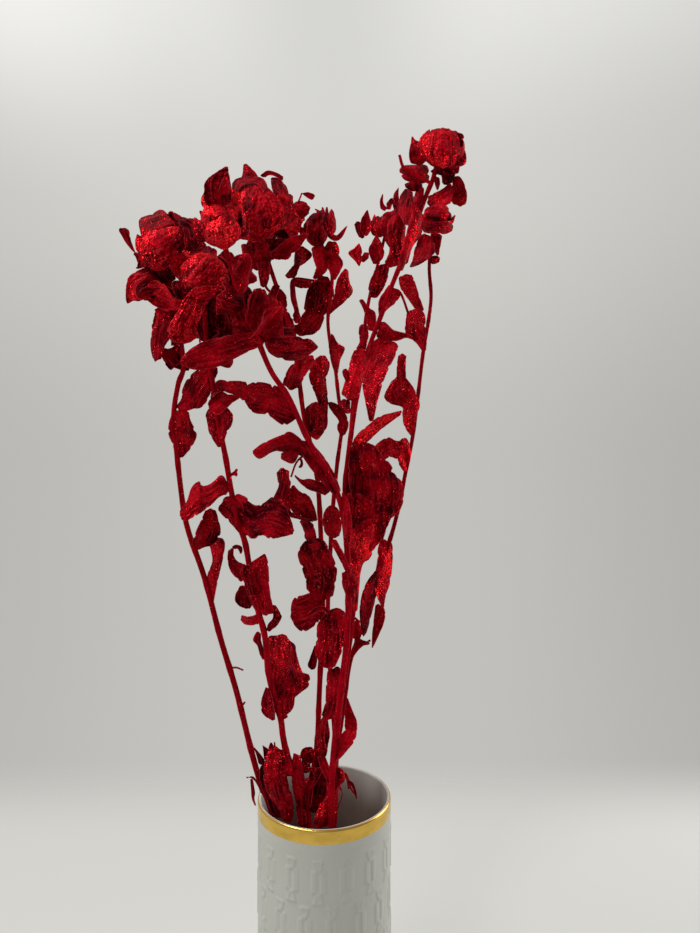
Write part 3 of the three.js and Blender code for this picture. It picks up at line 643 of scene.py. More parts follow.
def draw_leaf(piece: Piece, points: Array, width: float, face: float, fold: float,
              seed: float, glitter: float, crumple: Crumple) -> None:
    """Adds a leaf along a route, with its upper face turned from the eye about its own length.

    Args:
        piece: The piece it becomes part of.
        points: The points its middle line passes through.
        width: The width that shows from the eye.
        face: How far the face is turned, in degrees.
        fold: How far its halves rise, in degrees.
        seed: Picks its notches and creases.
        glitter: How much glitter lies on it.
        crumple: How it is crinkled.
    """
    to_eye = unit(EYE - points[0])

    def spine(s: Array) -> Array:
        """The middle line."""
        return smooth_curve(points, s)

    def facing(s: Array) -> Array:
        """The way the upper face looks."""
        along = unit(spine(np.minimum(1, s + 1e-4)) - spine(np.maximum(0, s - 1e-4)))
        across = unit(np.cross(along, to_eye))
        return np.cross(turned(across, along, face), along)

    spans = 4 if width >= 14.5 else 3  # wide leaves have one notch more
    Blade(width / math.cos(math.radians(face)), LEAF_PEAK, fold, width * 0.07, seed, spans,
          crumple, glitter).draw(piece, spine, facing)


@dataclass(frozen=True)
class Shoot:
    """The bar of a stem or branch, with its leaves and twigs."""

    route: Route
    radii: tuple[float, float]
    leaves: tuple[Leaf, ...] = ()
    twigs: tuple[Twig, ...] = ()
    leaf_glitter: float = 0.22
    knot: float = 0.14  # how much a knot swells, as a share of the radius
    knot_pitch: float = 23.0

    def draw(self, piece: Piece, line: Array) -> None:
        """Adds the stem along its line, then all that grows from it.

        Args:
            piece: The piece it becomes part of.
            line: The points of the stem, from its foot to its upper end.
        """
        self._bar(piece, line, self.radii[0], self.radii[1] / self.radii[0], 11)
        for leaf in self.leaves:
            self._leaf(piece, line, leaf)
        for twig in self.twigs:
            root = point_at_height(line, twig.height)
            points = [sight(x, z, root[1] + depth) for x, z, depth in twig.route]
            self._bar(piece, np.array([root, *points]), twig.radius, 0.75, 8)

    def _bar(self, piece: Piece, line: Array, radius: float, taper: float,
             sides: int) -> None:
        """Adds a furrowed, tapering bar with slight knots along a smooth curve."""
        steps = (len(line) - 1) * 7 + 1
        shares = np.linspace(0, 1, steps)
        curve = smooth_curve(line, shares)
        gone = np.concatenate([[0], np.cumsum(np.linalg.norm(np.diff(curve, axis=0), axis=1))])
        knots = np.exp(-((np.mod(gone / self.knot_pitch + radius, 1) - 0.5) * 9) ** 2)
        radii = radius * (1 + (taper - 1) * shares) * (1 + self.knot * knots)
        rings = tube_rings(curve, radii, sides)
        shade = 2 * scatter(radius * 31 + line[-1, 0]) - 1
        piece.add_tube(rings, {"part": Part.STEM.value, "glitter": 0.1, "shade": shade,
                               "along": gone, "across": BESIDE_RIB})

    def _leaf(self, piece: Piece, line: Array, leaf: Leaf) -> None:
        """Adds one leaf, which reaches to the front or back by the solid's seeded rule."""
        root = point_at_height(line, leaf.height)
        tip = leaf.route[-1]
        length = math.hypot(tip[0] - root[0], tip[1] - leaf.height)
        reach, face = leaf.reach, leaf.face
        if reach is None:
            reach = 0.8 * length * (2 * scatter(leaf.height + leaf.number) - 1)
        if face is None:
            face = 38 * (2 * scatter(leaf.height + leaf.number * 2.3 + 5) - 1)
        last = len(leaf.route)
        points = [sight(x, z, root[1] + depth + reach * ((k + 1) / last) ** 1.5)
                  for k, (x, z, depth) in enumerate(leaf.route)]
        draw_leaf(piece, np.array([root, *points]), leaf.width, face, leaf.fold,
                  leaf.number * 3.7 + 1, self.leaf_glitter, Crumple())


def point_at_height(line: Array, height: float) -> Array:
    """The point of a stem's line that is seen at a height of the layout plane."""
    seen = EYE[2] + (line[:, 2] - EYE[2]) * -EYE[1] / (line[:, 1] - EYE[1])
    above = int(np.argmax(seen > height))
    share = (height - seen[above - 1]) / (seen[above] - seen[above - 1])
    return line[above - 1] + (line[above] - line[above - 1]) * share


@dataclass(frozen=True)
class Branch(Shoot):
    """A side branch, from a height of its stem."""

    height: float = 0.0


@dataclass(frozen=True)
class Stem(Shoot):
    """A leafy stem that stands on the vase's floor."""

    name: str = ""
    foot: tuple[float, float] = (0.0, 0.0)
    branch: Branch | None = None

    def line(self) -> Array:
        """The stem's points, from the floor of the vase."""
        start = np.array([*self.foot, STANDS_AT + self.radii[0] * 0.4])
        return np.array([start, *(sight(*point) for point in self.route)])

    def build(self, sheets: tuple[Sheet, ...], material: bpy.types.Material) -> bpy.types.Object:
        """Makes the stem with its leaves and branch as one piece.

        Args:
            sheets: Its further leaves.
            material: The finish.

        Returns:
            The new object.
        """
        piece = Piece(self.name + "_dressed")
        line = self.line()
        self.draw(piece, line)
        for number, sheet in enumerate(sheets):
            sheet.draw(piece, number)
        if self.branch:
            root = point_at_height(line, self.branch.height)
            points = [sight(*point) for point in self.branch.route]
            self.branch.draw(piece, np.array([root, *points]))
        return piece.finish(material, self.name)


@dataclass(frozen=True)
class Head:
    """A flower head: a crinkled core wrapped by rings of bracts, with loose bracts round it."""

    name: str
    stem: str  # the stem that carries it
    at: Point
    radius: float
    rings: tuple[Ring, ...]
    loose: tuple[Bract, ...] = ()
    lean: float = 0.0
    on_branch: bool = False  # whether it sits on that stem's side branch
    core: float = 0.72  # radius of the core, as a share of the head's own
    root: float = 0.45  # where the bracts start, as the same share
    loose_glitter: float = 0.6
    bract_peak: float = 0.55
    bract_fold: float = -24.0
    bract_roll: float = 17.0  # makes bracts overlap like tiles, in degrees

    @property
    def centre(self) -> Array:
        """The head's centre."""
        return sight(*self.at)

    @property
    def up(self) -> Array:
        """The head's axis."""
        tilt = math.radians(self.lean)
        return np.array([math.sin(tilt), 0.0, math.cos(tilt)])

    def build(self, neck: Array, neck_radius: float, sheets: tuple[Sheet, ...],
              material: bpy.types.Material) -> bpy.types.Object:
        """Makes the head on its neck as one piece.

        Args:
            neck: Where the neck starts, at the upper end of the stem.
            neck_radius: The neck's radius there.
            sheets: Its further bracts.
            material: The finish.

        Returns:
            The new object.
        """
        piece = Piece(self.name + "_dressed")
        self._core(piece)
        self._neck(piece, neck, neck_radius, self.centre - self.up * self.radius * 0.5)
        for number, ring in enumerate(self.rings):
            self._ring(piece, ring, number, bool(sheets))
        for number, bract in enumerate(self.loose):
            self._bract(piece, bract, number)
        for number, sheet in enumerate(sheets):
            sheet.draw(piece, number, self)
        return piece.finish(material, self.name)

    def wrap(self, points: Array, depth: float) -> Array:
        """Lays a bract round the head, whatever its outline from the eye.

        Args:
            points: The bract's points.
            depth: The depth it is drawn with, which tells how far outside it lies.

        Returns:
            The points: round the front of the head, and beyond it level with its centre.
        """
        seen = pushed(points, -points[..., 1])
        off = np.hypot(seen[..., 0] - self.at[0], seen[..., 2] - self.at[1])
        ball = self.radius * 1.1 + np.clip((self.at[2] - self.radius - depth) * 0.5, -3, 7)
        if off.mean() > ball + 9:
            return points
        front = ball * 0.95 * (1 - np.minimum(off / (ball * 1.08), 1) ** 2.4)
        level = self.at[2] - front + 0.2 * np.maximum(off - ball, 0)
        return pushed(points, level - points[..., 1])

    def _core(self, piece: Piece) -> None:
        """Adds the core: a ball whose radius is crinkled by two layers of creases."""
        radius = self.radius * self.core * 1.14
        t = np.sin(np.linspace(-1, 1, 30) * np.pi * 0.49)
        line = self.centre + self.up * (t * radius)[:, None]
        rings = tube_rings(line, radius * np.sqrt(1 - t**2), 44, furrow=0.0)
        out = unit(rings - self.centre)
        u = np.arctan2(out[..., 0], out[..., 1]) * radius
        seed = int(self.radius * 100)
        w = out[..., 2] * radius
        bump = ripples(u, w, seed) + 0.4 * ripples(u * 2, w * 2, seed + 1)
        fade = np.sqrt(1 - t**2)[:, None]
        rings = rings + out * (bump * fade * radius * 0.1)[..., None]
        piece.add_tube(rings, {"part": Part.BLADE.value, "glitter": 0.9, "shade": -0.6,
                               "across": BESIDE_RIB})

    @staticmethod
    def _neck(piece: Piece, start: Array, radius: float, end: Array) -> None:
        """Adds the neck, which widens to the head like a flare."""
        shares = np.linspace(0, 1, 12)
        line = start + (end - start) * shares[:, None]
        rings = tube_rings(line, radius * (1 + 0.5 * shares**2), 11)
        piece.add_tube(rings, {"part": Part.STEM.value, "glitter": 0.2, "along": shares,
                               "across": BESIDE_RIB})

    def _ring(self, piece: Piece, ring: Ring, level: int, open_front: bool) -> None:
        """Adds a ring of bracts, two for each of the solid's, curving round the core.

        A bract's middle line swings from one polar angle to the other while its reach grows
        from the core to the ring's rise, and opens with the square of the share.

        Args:
            piece: The piece it becomes part of.
            ring: The ring's sizes.
            level: Which ring it is, from the outside.
            open_front: Whether sheets take the place of those that face the eye.
        """
        centre, up = self.centre, self.up
        side = unit(np.cross(np.array([0.0, 1.0, 0.0]), up))
        crumple = Crumple(height=0.05, edge_cut=0.12, curl=0.5, teeth=0.08, sway=0.02)
        width = self.radius * ring.width * (0.95 if level == 0 else 1.05)
        number = ring.count * 2
        for k in range(number):
            seed = ring.turn + k * 1.7 + self.at[0]
            jitter = scatter(seed) - 0.5
            azimuth = 360 * (k + 0.3 * jitter) / number + ring.turn
            outwards = turned(side[None], up[None], azimuth)[0]
            if open_front and outwards[1] < -0.3:
                continue
            start, end = ring.start, ring.end * (0.92 + 0.16 * scatter(seed + 3))
            open_by = ring.spread * (0.6 + 0.8 * scatter(seed + 5))
            rise = ring.rise * (0.95 + 0.1 * scatter(seed + 9))

            def direction(s: Array) -> Array:
                """The way from the head's centre to the middle line."""
                polar = np.radians(start + (end - start) * s)[:, None]
                return -up * np.cos(polar) + outwards * np.sin(polar)

            def spine(s: Array) -> Array:
                """The middle line."""
                reach = self.root + (rise - self.root) * np.minimum(1, 3 * s) + open_by * s**2
                return centre + direction(s) * (self.radius * reach)[:, None]

            def facing(s: Array) -> Array:
                """The way the outer face looks."""
                along = unit(direction(s + 0.02) - direction(s))
                return turned(direction(s), along, self.bract_roll)

            Blade(width, self.bract_peak, self.bract_fold, self.radius * 0.05, seed, 3, crumple,
                  1.0 - 0.2 * level).draw(piece, spine, facing)

    def _bract(self, piece: Piece, bract: Bract, number: int) -> None:
        """Adds a loose bract, rooted in the core."""
        points = np.array([sight(x, z, self.at[2] + depth) for x, z, depth in bract.route])
        root = self.centre + unit(points[0] - self.centre) * self.radius * self.root
        draw_leaf(piece, np.array([root, *points]), bract.width, 0.0, bract.fold, number * 5.3 + 2,
                  self.loose_glitter, Crumple(curl=0.9))


# ---- The vase ----


@dataclass(frozen=True)
class Vase:
    """A slim straight vase with a pressed relief of waisted motifs and a rounded lip."""

    height: float = 200.0
    radius: float = 37.5
    wall: float = 2.2
    floor: float = 5.0
    foot_bevel: float = 1.5
    floor_fillet: float = 3.0
    motifs: int = 16  # round the vase
    first_tier: float = 15.4  # below the rim
    tier_pitch: float = 24.4
    motif_height: float = 22.6
    first_turn: float = -2.4  # degrees that a motif of the top tier lies left of the front
    relief: float = 0.5
    sunken: float = 0.55  # how far the ground lies back, as a share of the relief
    foot_fade: tuple[float, float] = (3.0, 6.0)  # heights between which the relief begins
    rim_fade: tuple[float, float] = (9.0, 22.0)  # below the rim, where the ground sinks
    funnel: float = 5.6  # height of a funnel
    step: float = 0.45  # width of an edge's slope
    columns: int = 352
    rows: int = 238  # of the outer wall

    def build(self, material: bpy.types.Material) -> bpy.types.Object:
        """Makes the vase: one profile turned round its axis, with the relief on its outside.

        Args:
            material: The finish.

        Returns:
            The new object.
        """
        piece = Piece("vase_bisque")
        radii, heights, outside = self._profile()
        angle = np.arange(self.columns) * 2 * np.pi / self.columns
        around = angle * self.radius
        raised = self._relief(around[None, :], heights[:, None]) * outside[:, None]
        near, far = self.rim_fade
        ground = smooth_step(-heights, near - self.height, far - self.height)
        ground = smooth_step(heights, *self.foot_fade) * ground * (radii == self.radius)
        radius = radii[:, None] - self.relief * self.sunken * ground[:, None] + raised
        rings = np.stack([radius * np.sin(angle), -radius * np.cos(angle),
                          np.broadcast_to(heights[:, None], radius.shape)], axis=-1)
        piece.add_tube(rings, {})
        return piece.finish(material, "vase", sharp=60.0)

    def _profile(self) -> tuple[Array, Array, Array]:
        """The turned profile from the foot's centre, out, up, over the lip and down inside.

        Returns:
            Radii, heights, and how much relief each row carries, from 0 to 1.
        """
        top = self.height - self.wall / 2
        inner = self.radius - self.wall
        lip = np.linspace(0, np.pi, 13)
        fillet = np.linspace(0, np.pi / 2, 7)
        outer = np.linspace(self.foot_bevel, top, self.rows)
        parts = [
            (np.array([2.0, 12.0, 24.0, self.radius - self.foot_bevel - 0.4]), np.zeros(4)),
            (np.array([self.radius - self.foot_bevel, self.radius - 0.5]),
             np.array([0.25, self.foot_bevel - 0.3])),
            (np.full(self.rows, self.radius), outer),
            (self.radius - self.wall / 2 + np.cos(lip[1:]) * self.wall / 2,
             top + np.sin(lip[1:]) * self.wall / 2),
            (np.full(10, inner), np.linspace(top, self.floor + self.floor_fillet, 11)[1:]),
            (inner - self.floor_fillet * (1 - np.cos(fillet[1:])),
             self.floor + self.floor_fillet * (1 - np.sin(fillet[1:]))),
            (np.array([24.0, 12.0, 2.0]), np.full(3, self.floor)),
        ]
        radii = np.concatenate([part[0] for part in parts])
        heights = np.concatenate([part[1] for part in parts])
        outside = np.zeros(len(radii))
        bare = self.first_tier - self.wall / 2
        plain = smooth_step(-outer, -top + bare - 0.8, -top + bare)
        foot = sum(len(part[0]) for part in parts[:2])
        outside[foot:foot + self.rows] = smooth_step(outer, *self.foot_fade) * plain
        return radii, heights, outside

    def _relief(self, around: Array, heights: Array) -> Array:
        """Height of the pressed relief.

        Tiers of waisted motifs, each tier set half a motif round from the one above it. A motif
        is a funnel over two upright bars with a groove between them, over a funnel turned
        upside down, all with sunken middles. Each edge is an S-shaped step.

        Args:
            around: Lengths round the vase.
            heights: Heights above its foot.

        Returns:
            The relief's height at each pair.
        """
        pitch = 2 * np.pi * self.radius / self.motifs
        below = self.height - self.first_tier - heights
        tier = np.floor(below / self.tier_pitch)
        down = below - tier * self.tier_pitch
        start = math.radians(self.first_turn) * self.radius
        shifted = (around - start) / pitch + 0.5 + 0.5 * np.mod(tier, 2)
        a = np.abs((np.mod(shifted, 1) - 0.5) * pitch)  # distance from the motif's middle line

        def inside(distance: Array) -> Array:
            """1 where a distance to an edge is well positive, 0 where it is well negative."""
            return smooth_step(distance, -self.step / 2, self.step / 2)

        middle = self.motif_height / 2
        off = np.abs(down - middle)  # distance from the motif's waist
        shaft = middle - self.funnel  # half the bars' height
        flare = 1.25 + (off - shaft) / self.funnel * 1.6  # half the funnel's width
        funnel = inside(flare - a) * inside(off - shaft + 0.3) * inside(middle - off)
        hollow = inside(flare - a - 0.75) * inside(off - shaft - 1.2) * inside(middle - off - 0.9)
        bars = inside(3.6 - a) * inside(a - 1.1) * inside(shaft - off)
        slot = inside(3.0 - a) * inside(a - 1.75) * inside(shaft - off - 0.6)
        return self.relief * np.maximum(funnel - 0.55 * hollow, bars - 0.4 * slot)


# ---- Finishes ----


def operator(operation: str, swapped: bool = False) -> Callable[..., "Wire"]:
    """A method of Wire that adds one Math node.

    Args:
        operation: What the node does.
        swapped: Whether the wire is its second value.

    Returns:
        The method.
    """

    def method(wire: "Wire", other: "Wire | float" = 0.0) -> "Wire":
        """One Math node on the wire and another value."""
        first, second = (other, wire) if swapped else (wire, other)
        return wire.shader.node("ShaderNodeMath", {"operation": operation}, {0: first, 1: second})

    return method


class Wire:
    """A shader socket that adds, multiplies and compares like a number."""

    def __init__(self, shader: "Shader", socket: bpy.types.NodeSocket | None) -> None:
        """Wraps an output socket."""
        self.shader = shader
        self.socket = socket

    __add__ = operator("ADD")
    __radd__ = operator("ADD", swapped=True)
    __sub__ = operator("SUBTRACT")
    __rsub__ = operator("SUBTRACT", swapped=True)
    __mul__ = operator("MULTIPLY")
    __truediv__ = operator("DIVIDE")
    __pow__ = operator("POWER")
    __mod__ = operator("FLOORED_MODULO")
    __abs__ = operator("ABSOLUTE")

    def ramp(self, low: float, high: float) -> "Wire":
        """An S-shaped rise from 0 at low to 1 at high."""
        return self.shader.node("ShaderNodeMapRange", {"interpolation_type": "SMOOTHSTEP"},
                                {"Value": self, "From Min": low, "From Max": high})


class Shader:
    """A new material or world tree, filled through one method."""

    def __init__(self, tree: bpy.types.NodeTree) -> None:
        """Empties the tree."""
        self.tree = tree
        tree.nodes.clear()

    def node(self, kind: str, settings: dict[str, object] | None = None,
             inputs: dict[int | str, object] | None = None, output: int | str = 0) -> Wire:
        """Adds a node.

        Args:
            kind: The node's type.
            settings: Its own settings, set first.
            inputs: Values or wires for its sockets, by name or number.
            output: The output that is handed back.

        Returns:
            That output.
        """
        made = self.tree.nodes.new(kind)
        for key, value in (settings or {}).items():
            setattr(made, key, value)
        for key, value in (inputs or {}).items():
            if isinstance(value, Wire):
                self.tree.links.new(value.socket, made.inputs[key])
            else:
                made.inputs[key].default_value = value
        return Wire(self, made.outputs[output]) if made.outputs else Wire(self, None)

    def mix(self, share: Wire | float, first: object, second: object) -> Wire:
        """A colour between two colours."""
        return self.node("ShaderNodeMix", {"data_type": "RGBA"}, {0: share, 6: first, 7: second}, 2)

    def coats(self, ground: Colour, layers: tuple[tuple[Wire, Colour], ...]) -> Wire:
        """A ground colour under further colours, each with how far it covers what lies below."""
        for share, colour in layers:
            ground = self.mix(share, ground, colour)
        return ground

    def blend(self, share: Wire | float, first: object, second: object) -> Wire:
        """A number between two numbers."""
        return self.node("ShaderNodeMix", {"data_type": "FLOAT"}, {0: share, 2: first, 3: second})

    def vector(self, operation: str, first: object, second: object = (0, 0, 0)) -> Wire:
        """A Vector Math node."""
        return self.node("ShaderNodeVectorMath", {"operation": operation}, {0: first, 1: second})

    def place(self) -> Wire:
        """The point's place on the object, in metres."""
        return self.node("ShaderNodeTexCoord", output="Object")

    def noise(self, place: Wire, scale: float, detail: float = 3.0) -> Wire:
        """Cloudy noise from 0 to 1."""
        return self.node("ShaderNodeTexNoise", None,
                         {"Vector": place, "Scale": scale, "Detail": detail})

    def parts(self, vector: Wire) -> list[Wire]:
        """The three components of a vector."""
        split = self.node("ShaderNodeSeparateXYZ", None, {0: vector})
        return [Wire(self, socket) for socket in split.socket.node.outputs]

    def attribute(self, name: str) -> Wire:
        """A number kept on the mesh's points."""
        return self.node("ShaderNodeAttribute", {"attribute_name": name}, output="Fac")

    def bump(self, strength: float, distance: float, height: Wire) -> Wire:
        """A normal that shows a height, in metres."""
        return self.node("ShaderNodeBump", None,
                         {"Strength": strength, "Distance": distance, "Height": height})

    def close(self, kind: str, inputs: dict[int | str, object],
              output: str = "ShaderNodeOutputMaterial") -> None:
        """Adds the last shader and the tree's output."""
        self.node(output, None, {"Surface": self.node(kind, None, inputs)})


def new_material(name: str) -> tuple[bpy.types.Material, Shader]:
    """An empty node material and its shader."""
    material = bpy.data.materials.new(name)
    material.use_nodes = True
    return material, Shader(material.node_tree)


@dataclass(frozen=True)
class DyedLeaf:
    """Crimson-dyed dried leaf, dull beneath, veined, with flakes of glitter in patches and with painted
    shade and highlights.
    """

    name: str
    dark: Colour = (0.045, 0.0003, 0.0025, 1)
    mid: Colour = (0.31, 0.0008, 0.0065, 1)
    bright: Colour = (0.74, 0.005, 0.018, 1)
    beneath: Colour = (0.22, 0.010, 0.022, 1)
    stalk: Colour = (0.33, 0.0013, 0.008, 1)
    # rim: a thin painted highlight along a blade's edges
    rim: Colour = (0.60, 0.040, 0.060, 1)
    # pale streaks painted as highlights on folds
    painted_fold_highlight: Colour = (0.34, 0.024, 0.034, 1)
    tan: Colour = (0.42, 0.17, 0.09, 1)
    flake: Colour = (1.0, 0.028, 0.035, 1)
    flake_size: float = 0.42 * MM
    tint: Colour = (1.0, 0.12, 0.12, 1)  # of what is mirrored at the edges
    spread: float = 1.0  # how much glitter there is

    def build(self) -> bpy.types.Material:
        """Makes the material.

        Returns:
            The new material.
        """
        material, shader = new_material(self.name)
        place = shader.place()
        under, shade, along = (shader.attribute(name) for name in ("under", "shade", "along"))
        across = abs(shader.attribute("across"))
        blade = shader.attribute("part").ramp(0.3, 0.7)
        clouds = shader.noise(place, 95.0, 5.0)
        specks = shader.noise(place, 800.0).ramp(0.41, 0.59)
        phase = abs((along - across * 0.85) / 3.4 % 1.0 - 0.5)
        veins = phase.ramp(0.36, 0.48) * blade * (1 - across.ramp(4.0, 9.0))
        rib = (1 - across.ramp(0.15, 0.55)) * blade
        streaks = shader.noise(shader.node("ShaderNodeCombineXYZ", None, {
            0: along * 0.12 + shade * 9.0, 1: shader.attribute("across") * 0.8}), 1.0, 3.0)
        fibres = shader.noise(shader.vector("MULTIPLY", place, (1, 1, 0.1)), 900.0, 2.0)
        grain = specks * (shader.attribute("glitter") * 0.24 + 0.09)
        # the shade value paints shade and light sheet by sheet; on blades and stems it is random tone
        tone = (clouds.ramp(0.28, 0.74) * 0.62 + streaks.ramp(0.3, 0.7) * 0.26 + grain
                + shade * 0.34 + 0.02)
        bare = shader.noise(place, 160.0).ramp(0.755, 0.80) * blade
        flakes, spin, dust = self._flakes(shader, place, under)
        sheen = dust * streaks.ramp(0.45, 0.62) * specks
        colour = shader.coats(self.dark, (
            (tone.ramp(0.05, 0.62), self.mid),
            (tone.ramp(0.55, 1.15), self.bright),
            (veins * 0.3, self.dark),
            # pale lengthwise streaks: a painted highlight standing in for light on folds
            (streaks.ramp(0.52, 0.68) * blade * 0.38, self.painted_fold_highlight),
            (rib * 0.45, self.stalk),
            # a thin painted highlight along the edges
            (shader.attribute("edge").ramp(0.6, 1.0) * 0.45, self.rim),
            (bare * 0.6, self.tan),
            (under * blade * 0.6, self.beneath),
            ((1 - blade) * 0.75, self.stalk),
            ((1 - blade) * fibres.ramp(0.45, 0.65) * 0.4, self.dark),
            (sheen * 0.85, self.flake),
            (flakes, self.flake),
        ))
        height = clouds * 0.6 + streaks * 0.35 + specks * 0.14 + veins * 0.4 - rib * 0.3
        height = height + (1 - blade) * fibres * 0.5
        bump = shader.bump(0.7, 0.5 * MM, height)
        tipped = shader.vector("NORMALIZE", shader.vector("ADD", bump, spin))
        normal = shader.node("ShaderNodeMix", {"data_type": "VECTOR"},
                             {0: flakes, 4: bump, 5: tipped}, 1)
        shader.close("ShaderNodeBsdfPrincipled", {
            "Base Color": colour,
            "Roughness": shader.blend(flakes, 0.62 - sheen * 0.25, 0.27),
            "Metallic": flakes * 0.9 + sheen * (1 - flakes) * 0.5,
            "Normal": normal,
            "Specular IOR Level": 0.02,
            "Specular Tint": self.tint,
        })
        return material

    def _flakes(self, shader: Shader, place: Wire, under: Wire) -> tuple[Wire, Wire, Wire]:
        """The glitter: cells, of which some are flakes, each tipped its own way.

        Args:
            shader: The material's shader.
            place: The point's place.
            under: 1 on a leaf's underside, which holds little glitter.

        Returns:
            1 on a flake and 0 beside it, how the flake's normal is tipped, and how dense the
            glitter is.
        """
        cells = {"Vector": place, "Scale": 1 / self.flake_size, "Randomness": 1.0}
        pick = shader.node("ShaderNodeTexVoronoi", None, cells, "Color")
        chance = shader.parts(pick)[0]
        patches = shader.noise(place, 70.0).ramp(0.38, 0.66)
        glitter = shader.attribute("glitter")
        amount = glitter * (patches * 0.40 + 0.015) * (1 - under * 0.75)
        flakes = (chance + amount * self.spread).ramp(0.985, 1.0)
        dust = (glitter * (patches + 0.3)).ramp(0.45, 1.2) * (1 - under)
        spin = shader.vector("SUBTRACT", pick, (0.5, 0.5, 0.5))
        return flakes, shader.vector("MULTIPLY", spin, (1.2, 1.2, 1.2)), dust


@dataclass(frozen=True)
class GildedBisque:
    """Matt white porcelain with a burnished gold band on the rim, and painted shade inside: darker and
    warmer below the lip.
    """

    name: str
    bisque: Colour = (0.545, 0.55, 0.505, 1)
    warm: Colour = (0.51, 0.50, 0.45, 1)
    # depth: painted shade inside the vase, warm brown
    depth: Colour = (0.22, 0.155, 0.125, 1)
    gold: Colour = (0.76, 0.49, 0.10, 1)
    gold_deep: Colour = (0.56, 0.36, 0.065, 1)
    copper: Colour = (0.80, 0.42, 0.20, 1)
    rim: float = 200 * MM
    band: float = 7.3 * MM
    radius: float = 36.5 * MM

    def build(self) -> bpy.types.Material:
        """Makes the material.

        Returns:
            The new material.
        """
        material, shader = new_material(self.name)
        place = shader.place()
        x, y, z = shader.parts(place)
        radius = (x * x + y * y) ** 0.5
        outer = radius.ramp(self.radius, self.radius + 0.3 * MM)
        wobble = (shader.noise(place, 45.0, 2.0) - 0.5) * 0.8 * MM
        below = self.rim - z + wobble
        gilt = (1 - below.ramp(self.band, self.band + 0.25 * MM)) * outer
        grain = shader.noise(place, 1400.0, 4.0)
        clouds = shader.noise(place, 18.0)
        inside = 1 - radius.ramp(self.radius - 1.0 * MM, self.radius - 0.4 * MM)
        porcelain = shader.coats(self.bisque, (
            (clouds.ramp(0.35, 0.75) * 0.5, self.warm),
            # painted shade on the inner wall, growing from the lip to 26 mm down
            (inside * (self.rim - z).ramp(-2.0 * MM, 26.0 * MM), self.depth),
            (grain * 0.10, self.warm),
        ))
        strokes = shader.noise(shader.vector("MULTIPLY", place, (1.0, 1.0, 2.0)), 90.0)
        lip = outer - radius.ramp(self.radius + 0.3 * MM, self.radius + 0.7 * MM)
        gilding = shader.coats(self.gold, (
            (strokes.ramp(0.35, 0.7) * 0.7, self.gold_deep),
            (lip, self.copper),
        ))
        colour = shader.mix(gilt, porcelain, gilding)
        height = grain * (1 - gilt) + strokes * gilt * 1.2
        shader.close("ShaderNodeBsdfPrincipled", {
            "Base Color": colour,
            "Roughness": shader.blend(gilt, 0.58, strokes * 0.12 + 0.17),
            "Metallic": gilt,
            "Normal": shader.bump(0.35, 0.06 * MM, height),
            "Specular IOR Level": 0.4,
        })
        return material


# ---- The studio ----


@dataclass(frozen=True)
class SoftLight:
    """A rectangular soft light that looks at a point."""

    name: str
    at: Point
    looks_at: Point
    size: tuple[float, float]
    power: float

    def build(self) -> None:
        """Adds the light."""
        data = bpy.data.lights.new(self.name, "AREA")
        data.shape = "RECTANGLE"
        data.size, data.size_y = self.size
        data.energy = self.power
        lamp = bpy.data.objects.new(self.name, data)
        aim = Vector(self.looks_at) - Vector(self.at)
        lamp.location = self.at
        lamp.rotation_euler = aim.to_track_quat("-Z", "Y").to_euler()
        lamp.visible_camera = False
        bpy.context.scene.collection.objects.link(lamp)


